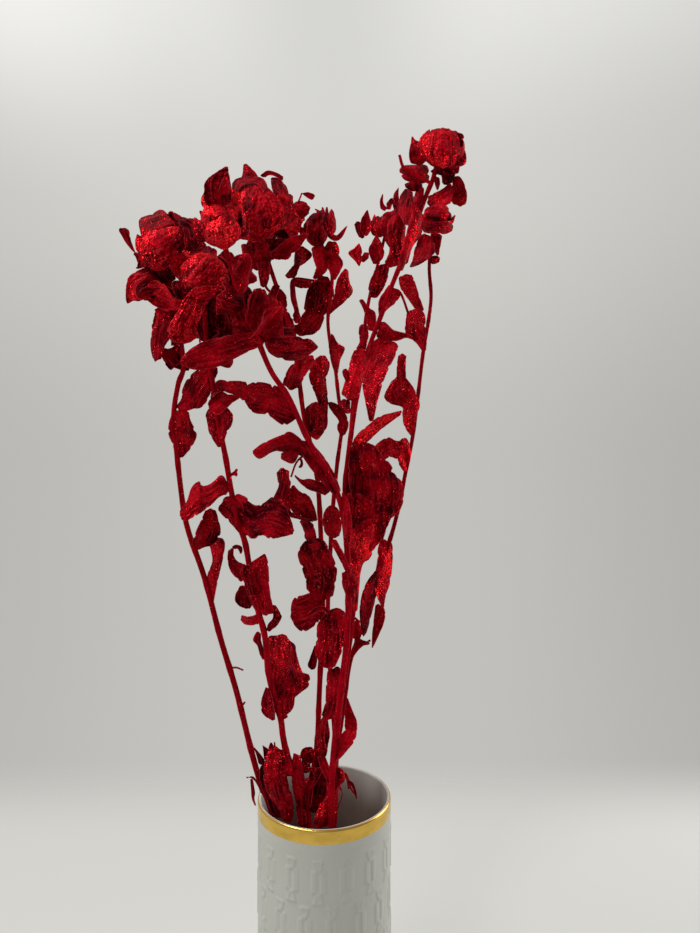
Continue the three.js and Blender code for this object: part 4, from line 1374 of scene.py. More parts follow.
@dataclass(frozen=True)
class Studio:
    """A pale floor that fades into a pale wall, soft lights and the camera."""

    focal_pixels: float = 649.0
    image_height: float = 933.0
    sensor: float = 36.0
    floor_ends: float = 0.39  # where the floor fades into the wall, behind the vase
    floor_colour: Colour = (0.616, 0.611, 0.588, 1)
    lights: tuple[SoftLight, ...] = (
        SoftLight("key_upper_left", (-0.65, -0.1, 1.55), (0, 0, 0.45), (0.5, 0.5), 11.0),
        SoftLight("rim_right", (1.3, 0.6, 0.7), (0, 0, 0.25), (0.9, 1.2), 12.0),
        SoftLight("front_left", (-0.6, -1.1, 1.5), (0, 0, 0.5), (0.3, 0.3), 5.0),
    )

    def build(self) -> None:
        """Makes the camera, the lights, the floor and the wall's glow."""
        self._camera()
        self._floor()
        self._wall()
        for light in self.lights:
            light.build()

    def _camera(self) -> None:
        """The level camera in front of the vase."""
        data = bpy.data.cameras.new("camera")
        data.sensor_fit = "AUTO"
        data.sensor_width = self.sensor
        data.lens = self.focal_pixels / self.image_height * self.sensor
        data.clip_start = 0.01
        camera = bpy.data.objects.new("camera", data)
        camera.location = EYE * MM
        camera.rotation_euler = (math.radians(90), 0, 0)
        bpy.context.scene.collection.objects.link(camera)
        bpy.context.scene.camera = camera

    def _floor(self) -> None:
        """A wide flat floor, whose far edge fades away."""
        mesh = bpy.data.meshes.new("floor")
        side, far, low = 3.0, self.floor_ends + 0.12, -0.4 * MM
        mesh.from_pydata([(-side, -side, low), (side, -side, low), (side, far, low), (-side, far, low)],
                         [], [(0, 1, 2, 3)])
        material, shader = new_material("pale_floor")
        place = shader.place()
        fade = shader.parts(place)[1].ramp(self.floor_ends - 0.09, self.floor_ends + 0.11)
        paint = shader.node("ShaderNodeBsdfPrincipled", None,
                            {"Base Color": self.floor_colour, "Roughness": 0.7})
        clear = shader.node("ShaderNodeBsdfTransparent")
        shader.close("ShaderNodeMixShader", {0: fade, 1: paint, 2: clear})
        mesh.materials.append(material)
        floor = bpy.data.objects.new("floor", mesh)
        bpy.context.scene.collection.objects.link(floor)
        floor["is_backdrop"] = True

    def _wall(self) -> None:
        """The glow all round: bright at the upper left behind the vase, dimmer to the right."""
        world = bpy.data.worlds.new("pale_wall")
        bpy.context.scene.world = world
        world.use_nodes = True
        shader = Shader(world.node_tree)
        way = shader.node("ShaderNodeTexCoord", output="Generated")
        x, y, z = shader.parts(way)
        high = z.ramp(0.42, 0.62)
        behind = (0.54 + z.ramp(0.0, 0.5) * 0.13 + high * abs(x + 0.03).ramp(0.0, 0.22) * 0.15
                  - x * 0.04 - abs(x).ramp(0.15, 0.6) * 0.085
                  + z.ramp(0.34, 0.56) * (0 - x).ramp(0.2, 0.42) * 0.16)
        before = 0.30 - x * 0.10 + z.ramp(0.0, 0.9) * 0.06
        glow = shader.blend(y.ramp(-0.2, 0.7), before, behind)
        colour = shader.mix(z.ramp(0.3, 0.6), (1.0, 0.99, 0.94, 1), (1.0, 0.995, 0.965, 1))
        shader.close("ShaderNodeBackground", {"Color": colour, "Strength": glow},
                     "ShaderNodeOutputWorld")


# ---- The bunch, as the solids have it ----

STEMS = (
    Stem(
        name="stem_far_left", foot=(28, 12), radii=(1.7, 1.2),
        route=((-30, 190, -10), (-35, 202, -10.5), (-41, 222, -11), (-50, 258, -12.5), (-59, 288, -14),
            (-68, 322, -16), (-77, 348, -17.5), (-80.5, 365, -18.5), (-84, 395, -20.5), (-85.5, 415, -21),
            (-83, 432, -20), (-80, 442, -19.5), (-82, 460, -19), (-86, 478, -18.5), (-87.5, 490, -17.5)),
        leaves=(
            Leaf(3, 477, ((-92, 464, -2), (-96, 445, -3)), 13, fold=18, face=-15),
            Leaf(4, 444, ((-86, 446, 5), (-94, 453, 7)), 12, fold=30),
            Leaf(5, 483, ((-86, 478, -6), (-96, 483, -9), (-106, 482, -7)), 16, face=-30, fold=10),
            Leaf(6, 486, ((-98, 492, -2), (-107, 489, 0), (-112, 478, 2)), 14, fold=-25, face=20),
            Leaf(7, 478, ((-79, 470, 8), (-73, 458, 12)), 16, fold=14),
        ),
        twigs=(
            Twig(271, ((-50, 271.5, 0), (-46, 270, 1)), 0.6),
            Twig(247, ((-46.5, 250, 0.5), (-45, 252, 1)), 0.7),
        ),
    ),
    Stem(
        name="stem_left", foot=(20, -10), radii=(1.8, 1.3),
        route=((-12, 203, -16), (-17, 213, -16), (-21, 221, -16.5), (-23.5, 232, -17.5),
            (-25, 243, -17.5), (-29, 256, -19), (-32, 270, -20.5), (-34, 290, -22), (-38, 305, -23.5),
            (-42, 325, -25), (-45, 342, -26.5), (-49, 354, -28), (-53, 372, -30), (-56, 390, -31.5),
            (-60, 410, -33), (-63, 430, -35), (-66, 450, -36), (-67.5, 464, -36.5), (-68, 475, -37)),
        leaves=(
            Leaf(18, 448, ((-56, 456, 6), (-47, 470, 9)), 17, fold=16, reach=4),
            Leaf(19, 462, ((-76, 464, 7), (-87, 454, 10)), 16, fold=-14, reach=5),
        ),
        twigs=(
            Twig(380, ((-51, 382, 0), (-49.5, 384, 0)), 0.9),
            Twig(242, ((-22, 243.5, 0), (-21, 244, 0)), 0.9),
        ),
    ),
    Stem(
        name="stem_front", foot=(10, -22), radii=(1.8, 1.2),
        route=((4, 180, -25), (4, 200, -25.5), (5, 220, -26), (7, 240, -28), (9.5, 260, -29.5),
            (13, 290, -32.5), (13.5, 312, -35.5), (13, 335, -38.5), (11, 356, -41), (7, 371, -43.5),
            (0, 385, -45.5), (-10, 402, -48), (-20, 424, -52), (-30, 439, -54.5), (-37, 455, -57),
            (-43, 470, -58.5), (-50, 488, -60.5), (-54, 502, -61.5)),
        leaves=(
            Leaf(9, 218, ((15, 236, 2), (13, 254, 3)), 8, fold=22, face=-20),
            Leaf(10, 462, ((-36, 474, -4), (-34, 486, -5)), 18, fold=26),
            Leaf(11, 464, ((-46, 476, -5), (-44, 488, -8)), 19, fold=-26),
            Leaf(12, 458, ((-34, 464, -4), (-24, 476, -4)), 16, fold=22),
            Leaf(13, 476, ((-53, 478, -9), (-61, 481, -13)), 16, fold=-24, reach=-6),
            Leaf(14, 492, ((-48, 497, 2), (-43, 506, 4)), 12, fold=20),
            Leaf(15, 488, ((-45, 493, -2), (-42, 504, -1)), 10, fold=15),
        ),
        twigs=(Twig(395, ((-15, 389, 1), (-19, 379.5, 1)), 0.6),),
    ),
    Stem(
        name="stem_middle", foot=(-22, 0), radii=(1.7, 1.3),
        route=((-10.5, 190, 4), (-9, 204, 4), (-6, 213, 4), (-4, 230, 4.5), (-3, 255, 6.5),
            (-1.5, 290, 9), (-1, 312, 11), (-2, 345, 13), (-4, 378, 15), (-8, 398, 16), (-12, 416, 16.5),
            (-15, 440, 19), (-18, 458, 21), (-24, 478, 24), (-31, 499, 27.5), (-34, 509, 29.5)),
        leaves=(
            Leaf(0, 198, ((-8, 204, -2), (-1, 213, -2)), 6, fold=20),
            Leaf(1, 212, ((-1, 228, -3), (1, 245, -3)), 8, fold=24),
            Leaf(10, 462, ((-25, 467, 4), (-34, 466, 6)), 14, fold=15),
            Leaf(11, 487, ((-29, 477, 4), (-36, 465, 7)), 13, fold=24),
            Leaf(12, 505, ((-22, 510.5, -3), (-9, 517.5, -2)), 9.5, fold=14, face=30),
            Leaf(13, 500, ((-39, 504, 4), (-47, 511, 6)), 13, fold=20),
        ),
        twigs=(Twig(481, ((-33, 487, 3), (-37, 500, 3)), 0.9),),
    ),
    Stem(
        name="stem_inner_right", foot=(-5, -10), radii=(1.5, 1),
        route=((6, 190, -6), (6, 210, -6), (6, 230, -5), (4, 260, -1.5), (2, 290, 2.5), (2, 309, 5),
            (3, 330, 8), (4.5, 358, 12), (7, 385, 17), (9, 400, 20.5), (10, 410, 22), (8, 425, 25.5),
            (6, 442, 29.5), (3, 457, 33), (2, 470, 36), (4, 484, 39.5), (4, 496, 42.5), (1, 506, 45)),
        twigs=(
            Twig(490, ((-7, 491, -6), (-17, 492, -6), (-19, 487, -6), (-17, 478, -6), (-14, 469, -6)),
                 0.8),
            Twig(206, ((12, 211, 1), (15, 203, 1), (18, 199, 2)), 0.6),
        ),
    ),
    Stem(
        name="stem_right", foot=(-12, 14), radii=(1.6, 1.2),
        route=((5, 190, 4), (5, 200, 4), (6.5, 225, 4), (9, 250, 2), (12.5, 272, 1), (16, 300, -1),
            (17, 315, -3), (16, 328, -3.5), (13.5, 348, -5.5), (11.5, 370, -7.5), (13, 388, -9.5),
            (16, 410, -11.5), (19, 428, -13.5), (25, 452, -17), (31, 468, -19), (37, 485, -21),
            (43, 500, -22.5), (51, 521, -25), (58, 540, -27), (61, 547, -28.5)),
        twigs=(
            Twig(300, ((18, 299, -1), (20, 297, -2)), 0.8),
            Twig(546, ((46, 554, 0), (42.5, 562, 0)), 1),
            Twig(486, ((43, 484, 1), (48, 471, 2)), 0.8),
        ),
        branch=Branch(
            height=402, radii=(1.2, 0.9),
            route=((17, 430, 3.5), (21, 450, 7), (24, 473, 11), (27, 488, 14), (30, 499, 15.5),
                (33, 511, 17)),
        ),
    ),
    Stem(
        name="stem_far_right", foot=(-14, 24), radii=(1.5, 1.1),
        route=((5, 190, 14), (6, 210, 14), (8, 230, 14.5), (11, 250, 16), (14, 272, 17.5),
            (18, 285, 18.5), (27, 310, 21.5), (35, 337, 24.5), (39, 350, 25.5), (43, 366, 28),
            (46, 382, 29.5), (50, 402, 32), (53, 425, 34.5), (56, 450, 37.5), (59, 468, 39.5),
            (60.5, 482, 41.5), (59.5, 497, 43), (60, 511, 44.5)),
        leaves=(
            Leaf(5, 367, ((39, 372, 2), (33, 386, 3)), 10, fold=18),
        ),
        twigs=(Twig(278, ((20, 283, -1), (26, 287, -2)), 0.8),),
    ),
)

HEADS = (
    Head("head_far_left", "stem_far_left", (-88, 511, -18), radius=16.5, lean=-14, rings=(
        Ring(4, 47, 118, 0.04, 10, 1.3, 1.05), Ring(3, 78, 165, 0.02, 50, 1.35, 0.92))),
    Head("head_upper_left", "stem_front", (-59, 522, -62), radius=12, lean=-8, rings=(
        Ring(4, 47, 120, 0, 0, 1.3, 1), Ring(3, 88, 165, 0, 40, 1.2, 0.86))),
    Head("head_centre_left", "stem_middle", (-37, 528, 30), radius=17.5, lean=6, rings=(
        Ring(4, 47, 115, 0.1, 0, 1.2, 1.12), Ring(3, 83, 165, 0.04, 30, 1.25, 0.92))),
    Head("head_ridged", "stem_left", (-68, 494, -40), radius=13.5, lean=12, rings=(
        Ring(4, 47, 120, 0, 0, 1.15, 0.95), Ring(3, 88, 168, 0, 30, 1.1, 0.82))),
    Head("head_small", "stem_inner_right", (-4, 521, 46), radius=10, rings=(
        Ring(4, 47, 140, 0.12, 0, 1.15, 1.12), Ring(3, 88, 165, 0.05, 30, 1.1, 0.92)),
        loose=(Bract(((7, 515, -3), (13, 522, -4)), 3.5),)),
    Head("head_top_right", "stem_right", (66, 566, -29), radius=11.5, lean=10, rings=(
        Ring(4, 42, 130, 0, 0, 1.4, 1), Ring(3, 88, 172, 0, 40, 1.3, 0.86)),
        loose=(Bract(((72, 556, 4), (76, 552, 6)), 9, fold=14),)),
    Head("head_right", "stem_far_right", (63, 526, 45), radius=9.5, lean=8, rings=(
        Ring(4, 42, 105, 0.22, 0, 1.35, 1.12), Ring(3, 78, 150, 0.05, 40, 1.2, 0.92))),
    Head("head_side_branch", "stem_right", (35, 522, 17), radius=7, on_branch=True, rings=(
        Ring(4, 47, 130, 0.2, 0, 1.2, 1.12), Ring(3, 88, 160, 0.1, 40, 1.1, 0.92))),
)


# Leaves and bracts drawn as sheets, by the solid that carries them. A row holds the first edge,
# the second edge, the depth, the bulge, glitter and shade, and sometimes the slant. The shade
# makes a sheet darker or lighter: painted shade and painted light, besides the leaf's own tone.
# Some of the darkest rows are dark sheets put in where shadow lies, in gaps and hollows.
SHEETS: dict[str, tuple[tuple, ...]] = {}

SHEETS["head_far_left"] = (
    ((-104, 511, 3, 7, 9, 2.5, 8, 1.5, 6, 2), (0, -6, 6, 2, 8, 4.5, 7, 6.5, 5.5, 4.5), -44, 3, 0.95, 0.3),
    ((-104, 507, 6, 2, 8, 4, 7, 6, 5, 4), (1, -6, 8, -4.5, 9, 3.5, 6, 8, 3, 14), -43, 4, 0.35, -0.45),
    ((-84, 525.5, 4, -6.5, 0.5, -7, 1.5, -5), (7, 1, 6.5, -2, 2, -9.5, -4.5, -7), -47, 2.5, 0.15, -0.7),
    ((-103, 513, -2, 12, 7, 3.5, 6, 2.5, 6, -6), (1, -2, 2, 6, 7, 2, 6, 1, 3, 3), -38, 2, 0.3, -0.6),
    ((-109, 508, -4, 5, -3.5, 6, 1, 2), (2, -2, -2.5, 7, -1, 5, -1, 2.5), -28, 1, 0.1, 0.1),
    ((-109, 507, 2, -3, 1, -3), (4, 0, 3, -2, -2, -4), -28, 0.5, 0.2, -0.3),
    # a dark sheet painted in as the shadow beneath the head
    ((-100, 501, 3, -7, 5, -4), (12, 1, 3, -7, 1, -5), -32, 1, 0.1, -1),
    ((-90, 505, 2, -6, 4.5, -7), (10, 0, 2, -6, -3, -8), -40, 1.5, 0.9, 0.4),
    ((-88, 506, 0, -5, 5, -3), (7, 1.5, 4, -4.5, -2, -4.5), -48, 1.5, 0.4),
    ((-104, 511, -2, -11, -1, -2), (4, -3, 0, -8, -6, -2.5), -34, 0.5, 0.3, -0.2),
)
SHEETS["stem_far_left"] = (
    ((-101, 488, 4, 3, 6, -2, 6, -8, 7, 0, 2, 6), (-2, -6, 6, -5, 8, -3.5, 8, 2, 4, 5.5, 2, 5), -26, 1.5,
     1.1, 0.4, -6),
    ((-97, 497, -9, -4, -4.5, -4, -1.5, -5, 1, -5), (-3, -4, -5, -3.5, -2, -3.5, 1, -4, 2, -2), -24, 1.5,
     0.5, 0.1),
    ((-100, 490, -6, -4, -4, -7), (4, -1, -3, -5, -5, -5), -22, 0.5, 0.1, -1),
    ((-97, 476, 2, -6, -3, -9, -0.5, -8, 1.5, -7), (7, 0, 2.5, -7, -1.5, -9, -2, -8, -2, -6.5), -24, 2,
     0.4),
    ((-84, 391, -2.5, 8, -2, 5, 0.5, 7, 3, 7.5), (3, -1, 6, 7, 2.5, 7, -3.5, 8, -1, 6), -20, 1.5, 0.15,
     -0.15, 13),
    ((-76, 338, 2.5, 9, 3.5, 8, 3, 6.5), (10, 1, 6, 6, 1, 6, -3, 11), -17, 1.5, 0.15, -0.4, -10),
    ((-65, 308, -2, 11, 1, 6, 2.5, 7, -1.5, 8, -2, 4), (2, 0, 1.5, 8, 1.5, 7, 2.5, 11, 1, 8, -2.5, 4), -15,
     1, 0.3, 0, 3),
    ((-79, 439.5, -8, 3, -4.5, 4.5, 0.5, 6), (3, 0.5, -3, 6, -1, 4, 0, 5), -18, 1.5, 0.15, -0.8),
)
SHEETS["head_ridged"] = (
    ((-87, 492, 1, -6, 3, -6), (11, 0, 2, -7, -2, -7), -24, 1, 0.1, -1),
    ((-69, 486, 1, -6, 2, -7), (12, 1, 1, -7, -3, -7), -36, 1, 0.2, -0.5),
    ((-77, 487, -6, -13, -6, -11, 2, -6, 5, -1.5), (16, -1, -7, -11, -4, -10, -0.5, -6, -4.5, -3.7), -50,
     3, 0.6, 0, 8),
    ((-79, 482, 7, 5.5, 13, 0.5), (3, -4, 6, 0.5, 8, 3.5), -59, 1.2, 1.2, 0.6),
    ((-67, 505, -6, -6, -5, -8, 1, -6), (5, 0, 5, -5, 3, -7, 0, -7), -55, 3, 0.7, 0.1),
    ((-70, 510, 0, -6, 2, -5), (9, 1, 0, -7, -2, -5), -50, 1, 0.3, -0.7),
    ((-60, 507, -0.5, -7, 5.5, -6.5), (6, 1.5, 4.5, -6.5, -1.5, -8), -46, 1.5, 0.2, -0.8),
    ((-56, 502, 1, -10, 3, -8), (9, -2, 2, -8, 2, -8), -40, 1.5, 0.3, -0.5),
    ((-60, 484, 0, -5, 4.5, -4), (3.5, 2, 5, -3, -1, -7.5), -58, 1, 0.1, -0.4),
    ((-72, 478, -1, -13, 5, -13), (18, 2, 4, -14, 2, -14), -34, 1, 0.1, -1.3),
    ((-41, 486, 3, -8, 4.5, -8), (4, 1, 6, -7, -0.5, -9), -55, 1, 0.2, 0.2),
    ((-29, 489, -3, -9, 3, -10), (4, 0, -2, -9, 3, -9), 20, 1, 0.2, -0.4),
    ((-38, 503, 0.5, -8, 1.5, -8), (6, 0, 1.5, -7, -2.5, -9), 22, 1, 0.2, -0.4),
    ((-56, 478, 2, -7, 4, -7), (8, 4, 6, -8, 0, -9), -54, 1.5, 0.8),
)
SHEETS["head_upper_left"] = (
    ((-64, 527, -3.5, -8, 3.5, -7, 6, -3.5), (12, 1, 4.5, -8, -3, -7.5, -5.5, -4.2), -77, 4.5, 1.2, 0.4),
    ((-71, 531, 2, -9, 2.5, -8), (2, -1, 3.5, -1, 0, -14), -72, 0.6, 0.3, -0.2),
    ((-66, 530, -2.5, 8, 1, 9, 6.5, 5.5, 5, 3), (13, 2, 0.5, 9, -1, 7, -1, 6, -0.3, 1.5), -68, 2.5, 0.2,
     -0.5),
    ((-61, 539, 2, 6, 2.5, 5), (8, 0, -0.5, 6, -2, 5), -72, 1, 0.3, 0.2),
    ((-67, 543, -3, -7.5, 5, -8.5), (4, -2, 6, -6, 0, -8), -75, 2, 1.2, 0.2),
    ((-57, 541, 1, -8, 3, -7), (9, 2, 1.5, -9, -0.5, -9), -74, 1.5, 1.2, 0.2),
    ((-58, 528.5, -1, -4.5, 3, -4.5), (4, 0.5, 3.5, -4, -2.5, -5), -80, 0.8, 0.2, -0.6),
)
SHEETS["head_centre_left"] = (
    ((-52, 536, 1, -9, 4, -10), (12, 0, 1, -9, -1, -10), 13, 1, 0.3, -0.3),
    ((-52, 546, -3, -9, 0.5, -7, 3.5, -7), (13, 1, 2.5, -8, -1.5, -8, -4, -7), 6, 3, 1.25, 0.3),
    ((-55, 530, 2, -10, 7, -7), (17, 1, 2, -10, -2, -7.5), 3, 2, 0.6, -0.45),
    ((-43, 546, -2.5, -9, 0, -9, 1.5, -9, 6, -4.5), (9, -0.5, 6.5, -6.5, 4.5, -9, -2.5, -9, -6.5, -6), 5,
     4, 0.95, -0.1),
    # a dark sheet painted in as the shadow under the hood of bracts
    ((-50, 544, 6, 4.5, 9, -1.5), (0, -6, 7, 1, 10, -1), 12, 1, 0.1, -1.4),
    ((-46, 538.5, -1, -4.5, 2.5, -4), (4, 0.5, 1.5, -4.5, -2, -4), 1, 0.8, 0.3, -0.7),
    ((-52.5, 540, 1, 7.5, 8.5, 2.5, 8.5, -1.5, 3.5, -8), (2.5, 0.5, 3.5, 4, 4.5, 2, 4.5, -1.5, 3.5, -5), 1,
     1, 0.2, -0.9),
    ((-49, 544, 2.5, 7, 0.7, 6), (13, 2, -3, 6, -5.3, 5.2), 12, 1, 0.3, -0.2),
    ((-37, 550, 4.5, 3.2, 5.5, -1.2, 4.2, -2.5), (3, -0.7, 3, 1.5, 4, -1.2, 3, -2.6), 12, 0.8, 0.2, 0.2),
    ((-30.5, 549.5, 1, -7.5, 4.5, -9), (3.5, 0, 5.5, -5.5, 3, -12), 10, 1.5, 0.2, -0.8),
    ((-27, 541, 1.5, -8, 1.5, -10, 5.5, -9), (6, -1.5, 5, -9.5, 3, -6.5, -3, -9), 6, 2, 0.35, -0.1),
    ((-21.5, 540, -0.5, -6), (3.5, 0, 0.5, -7), 10, 0.5, 0.2, -0.2),
    ((-36, 514.5, 10, 0.5, 9, -0.5, 8, 6.5), (-4, -6.5, 9, -5.5, 9, 4.5, 7, 2), 10, 1.5, 0.25, -0.6),
    ((-37, 528, -0.5, -5, 4.5, -3.5), (5.5, 1.5, 4.5, -4.5, -2.5, -5), -6, 0.8, 0.25, -0.85),
    ((-42.5, 516, -2.5, -8, 2, -8, 5, -4), (6.5, 0.5, 5, -6.5, 1, -7, -3, -7), 4, 2, 0.35, -0.2),
    ((-19, 533, 4, 3, 6, -1), (1, -4, 5, -3, 5.5, 4), 14, 1, 0.3, 0.1),
    ((-12.8, 540.3, 3.8, 0.7, 4.3, -1.8), (0.8, -0.5, 2.5, -2, 3, -1.4), 31, 0.3, 0.1, -0.6),
    ((-16.5, 533.5, 2, 3.5, 1.5, 3.8), (0.8, 0, 1.9, 3.5, 1.3, 3.6), 14, 0.1, 0.1, -0.6),
    ((-47.5, 506, 0.5, -7, 2.5, -7), (2.5, 0.5, 4.5, -6.5, -2.5, -8.5), 6, 1.2, 0.2, 0.15),
)
SHEETS["head_small"] = (
    ((-8, 530, -2, -8, 0, -8, 4, -4), (10, 1.5, 0.5, -8.5, -1, -8, -3.5, -5.5), 32, 3, 0.5, -0.5),
    ((1, 524, 1.5, 5, 1.5, 2.8), (3, -11, 2.3, 9, -1, 8), 31, 1, 0.3, 0.45),
    ((-1, 511, 1.5, -6, 1.5, -5), (6.5, 4, 3, -7, -2.5, -8), 36, 1, 0.3, -0.2),
    ((-6, 532, 1.5, -2, -0.5, -3), (2.5, -1, 1, -1, 0.5, -3), 33, 0.3, 0.5, -0.2),
    ((-1.5, 532.5, 0, -2.5, 0.5, -3), (0.7, 0, 0.8, -2, 1, -3.5), 33, 0.3, 0.5, -0.4),
    ((1.2, 532.8, -0.7, -2.3, 0.5, -2.5), (0.6, -0.2, 0.4, -2.6, 0.3, -2), 33, 0.3, 0.4, -0.6),
)
SHEETS["stem_inner_right"] = (
    ((-16.5, 510, -0.5, -6, -0.5, -6), (3.5, 1, 6, -5.5, -5.5, -6), 40, 1, 0.3, -0.2),
    ((-17.5, 500, -3, -4, -2.7, -3.3), (4, 1, -2, -6.5, -2.5, -2.9), 38, 1, 0.3, 0.1),
    ((-8, 512, 1.5, -8, 1.5, -6, -1.8, -6.4), (9, -1, 0, -7, 0.5, -7, -5.5, -5.2), 38, 1.5, 0.3, 0.4),
    ((-1, 508, 2, -8, 3.5, -8.5), (7, 0, 4.5, -7.4, -4.5, -9.6), 40, 1.2, 0.3),
    ((-18, 492.3, 5, -1, 7, -1), (0.5, -4.3, 4.5, -1.5, 5, 0.3), 35, 0.5, 0.3, -0.1),
    ((-18.2, 492, -1.3, -4, 0.5, -8, 1.8, -6, -0.8, -7), (1.2, -1, 0.7, -8, 1.1, -6, 1.2, -6, 0.5, -5), 35,
     0.6, 0.3),
    ((-5, 492, -4.5, -6, -2.5, -12, -3, -7.5, -4, -1.5, 1, -5), (6, 3, 4, -8, 0, -8, -4.5, -8, -3.5, -8,
     -6, -4), 43, 2.5, 0.2, -0.5, 8),
    ((2, 470.5, 2, 6.5, 2, 9, 2, 7, 4, 5), (4, 4, 5.5, 4.5, 4.5, 5.5, -2, 6.5, -0.5, 5.5), 36, 1.5, 0.35,
     -0.1),
    ((-15.5, 476, -2.5, -5, 3, -2), (0.5, 0, 1, -4, 1, -3), 35, 0.4, 0.4, 0.4),
    ((6, 438, -2.5, 8, -1, 8, 1.5, 7), (1.5, 0, 1.5, 8, 2.5, 6.5, -4, 3, -2.5, 4.5), 28, 1, 0.2, 0.1, -20),
    ((9, 403, -2, 5, 1, 3.5, -4.5, 6, -2, 5), (2.5, 0, 2, 5, -0.5, 5, -3.5, 6, -4.5, 3), 21, 1, 0.2, -0.2,
     -4),
    ((4, 344.5, -3.5, 3.5, -1.5, 6, 1, 6, 3, 3.5), (4, 1, 1.5, 4.5, 0, 6, -1.5, 5, -3.5, 3), 10, 1.5, 0.2,
     0.25, -19),
    ((4, 305, -7.5, -8, -1, -9, -0.5, -9, 4, -8), (4, 0.5, 4, -3.5, 1, -10, -3, -11, -5, -11), 4, 2, 0.3,
     -0.2, -12),
    ((2, 272, -1, -10, -0.5, -10, -2.5, -9), (9, 0, 1, -11, -3, -11, -5, -9), 0, 1.5, 0.2, -0.3, -16),
)
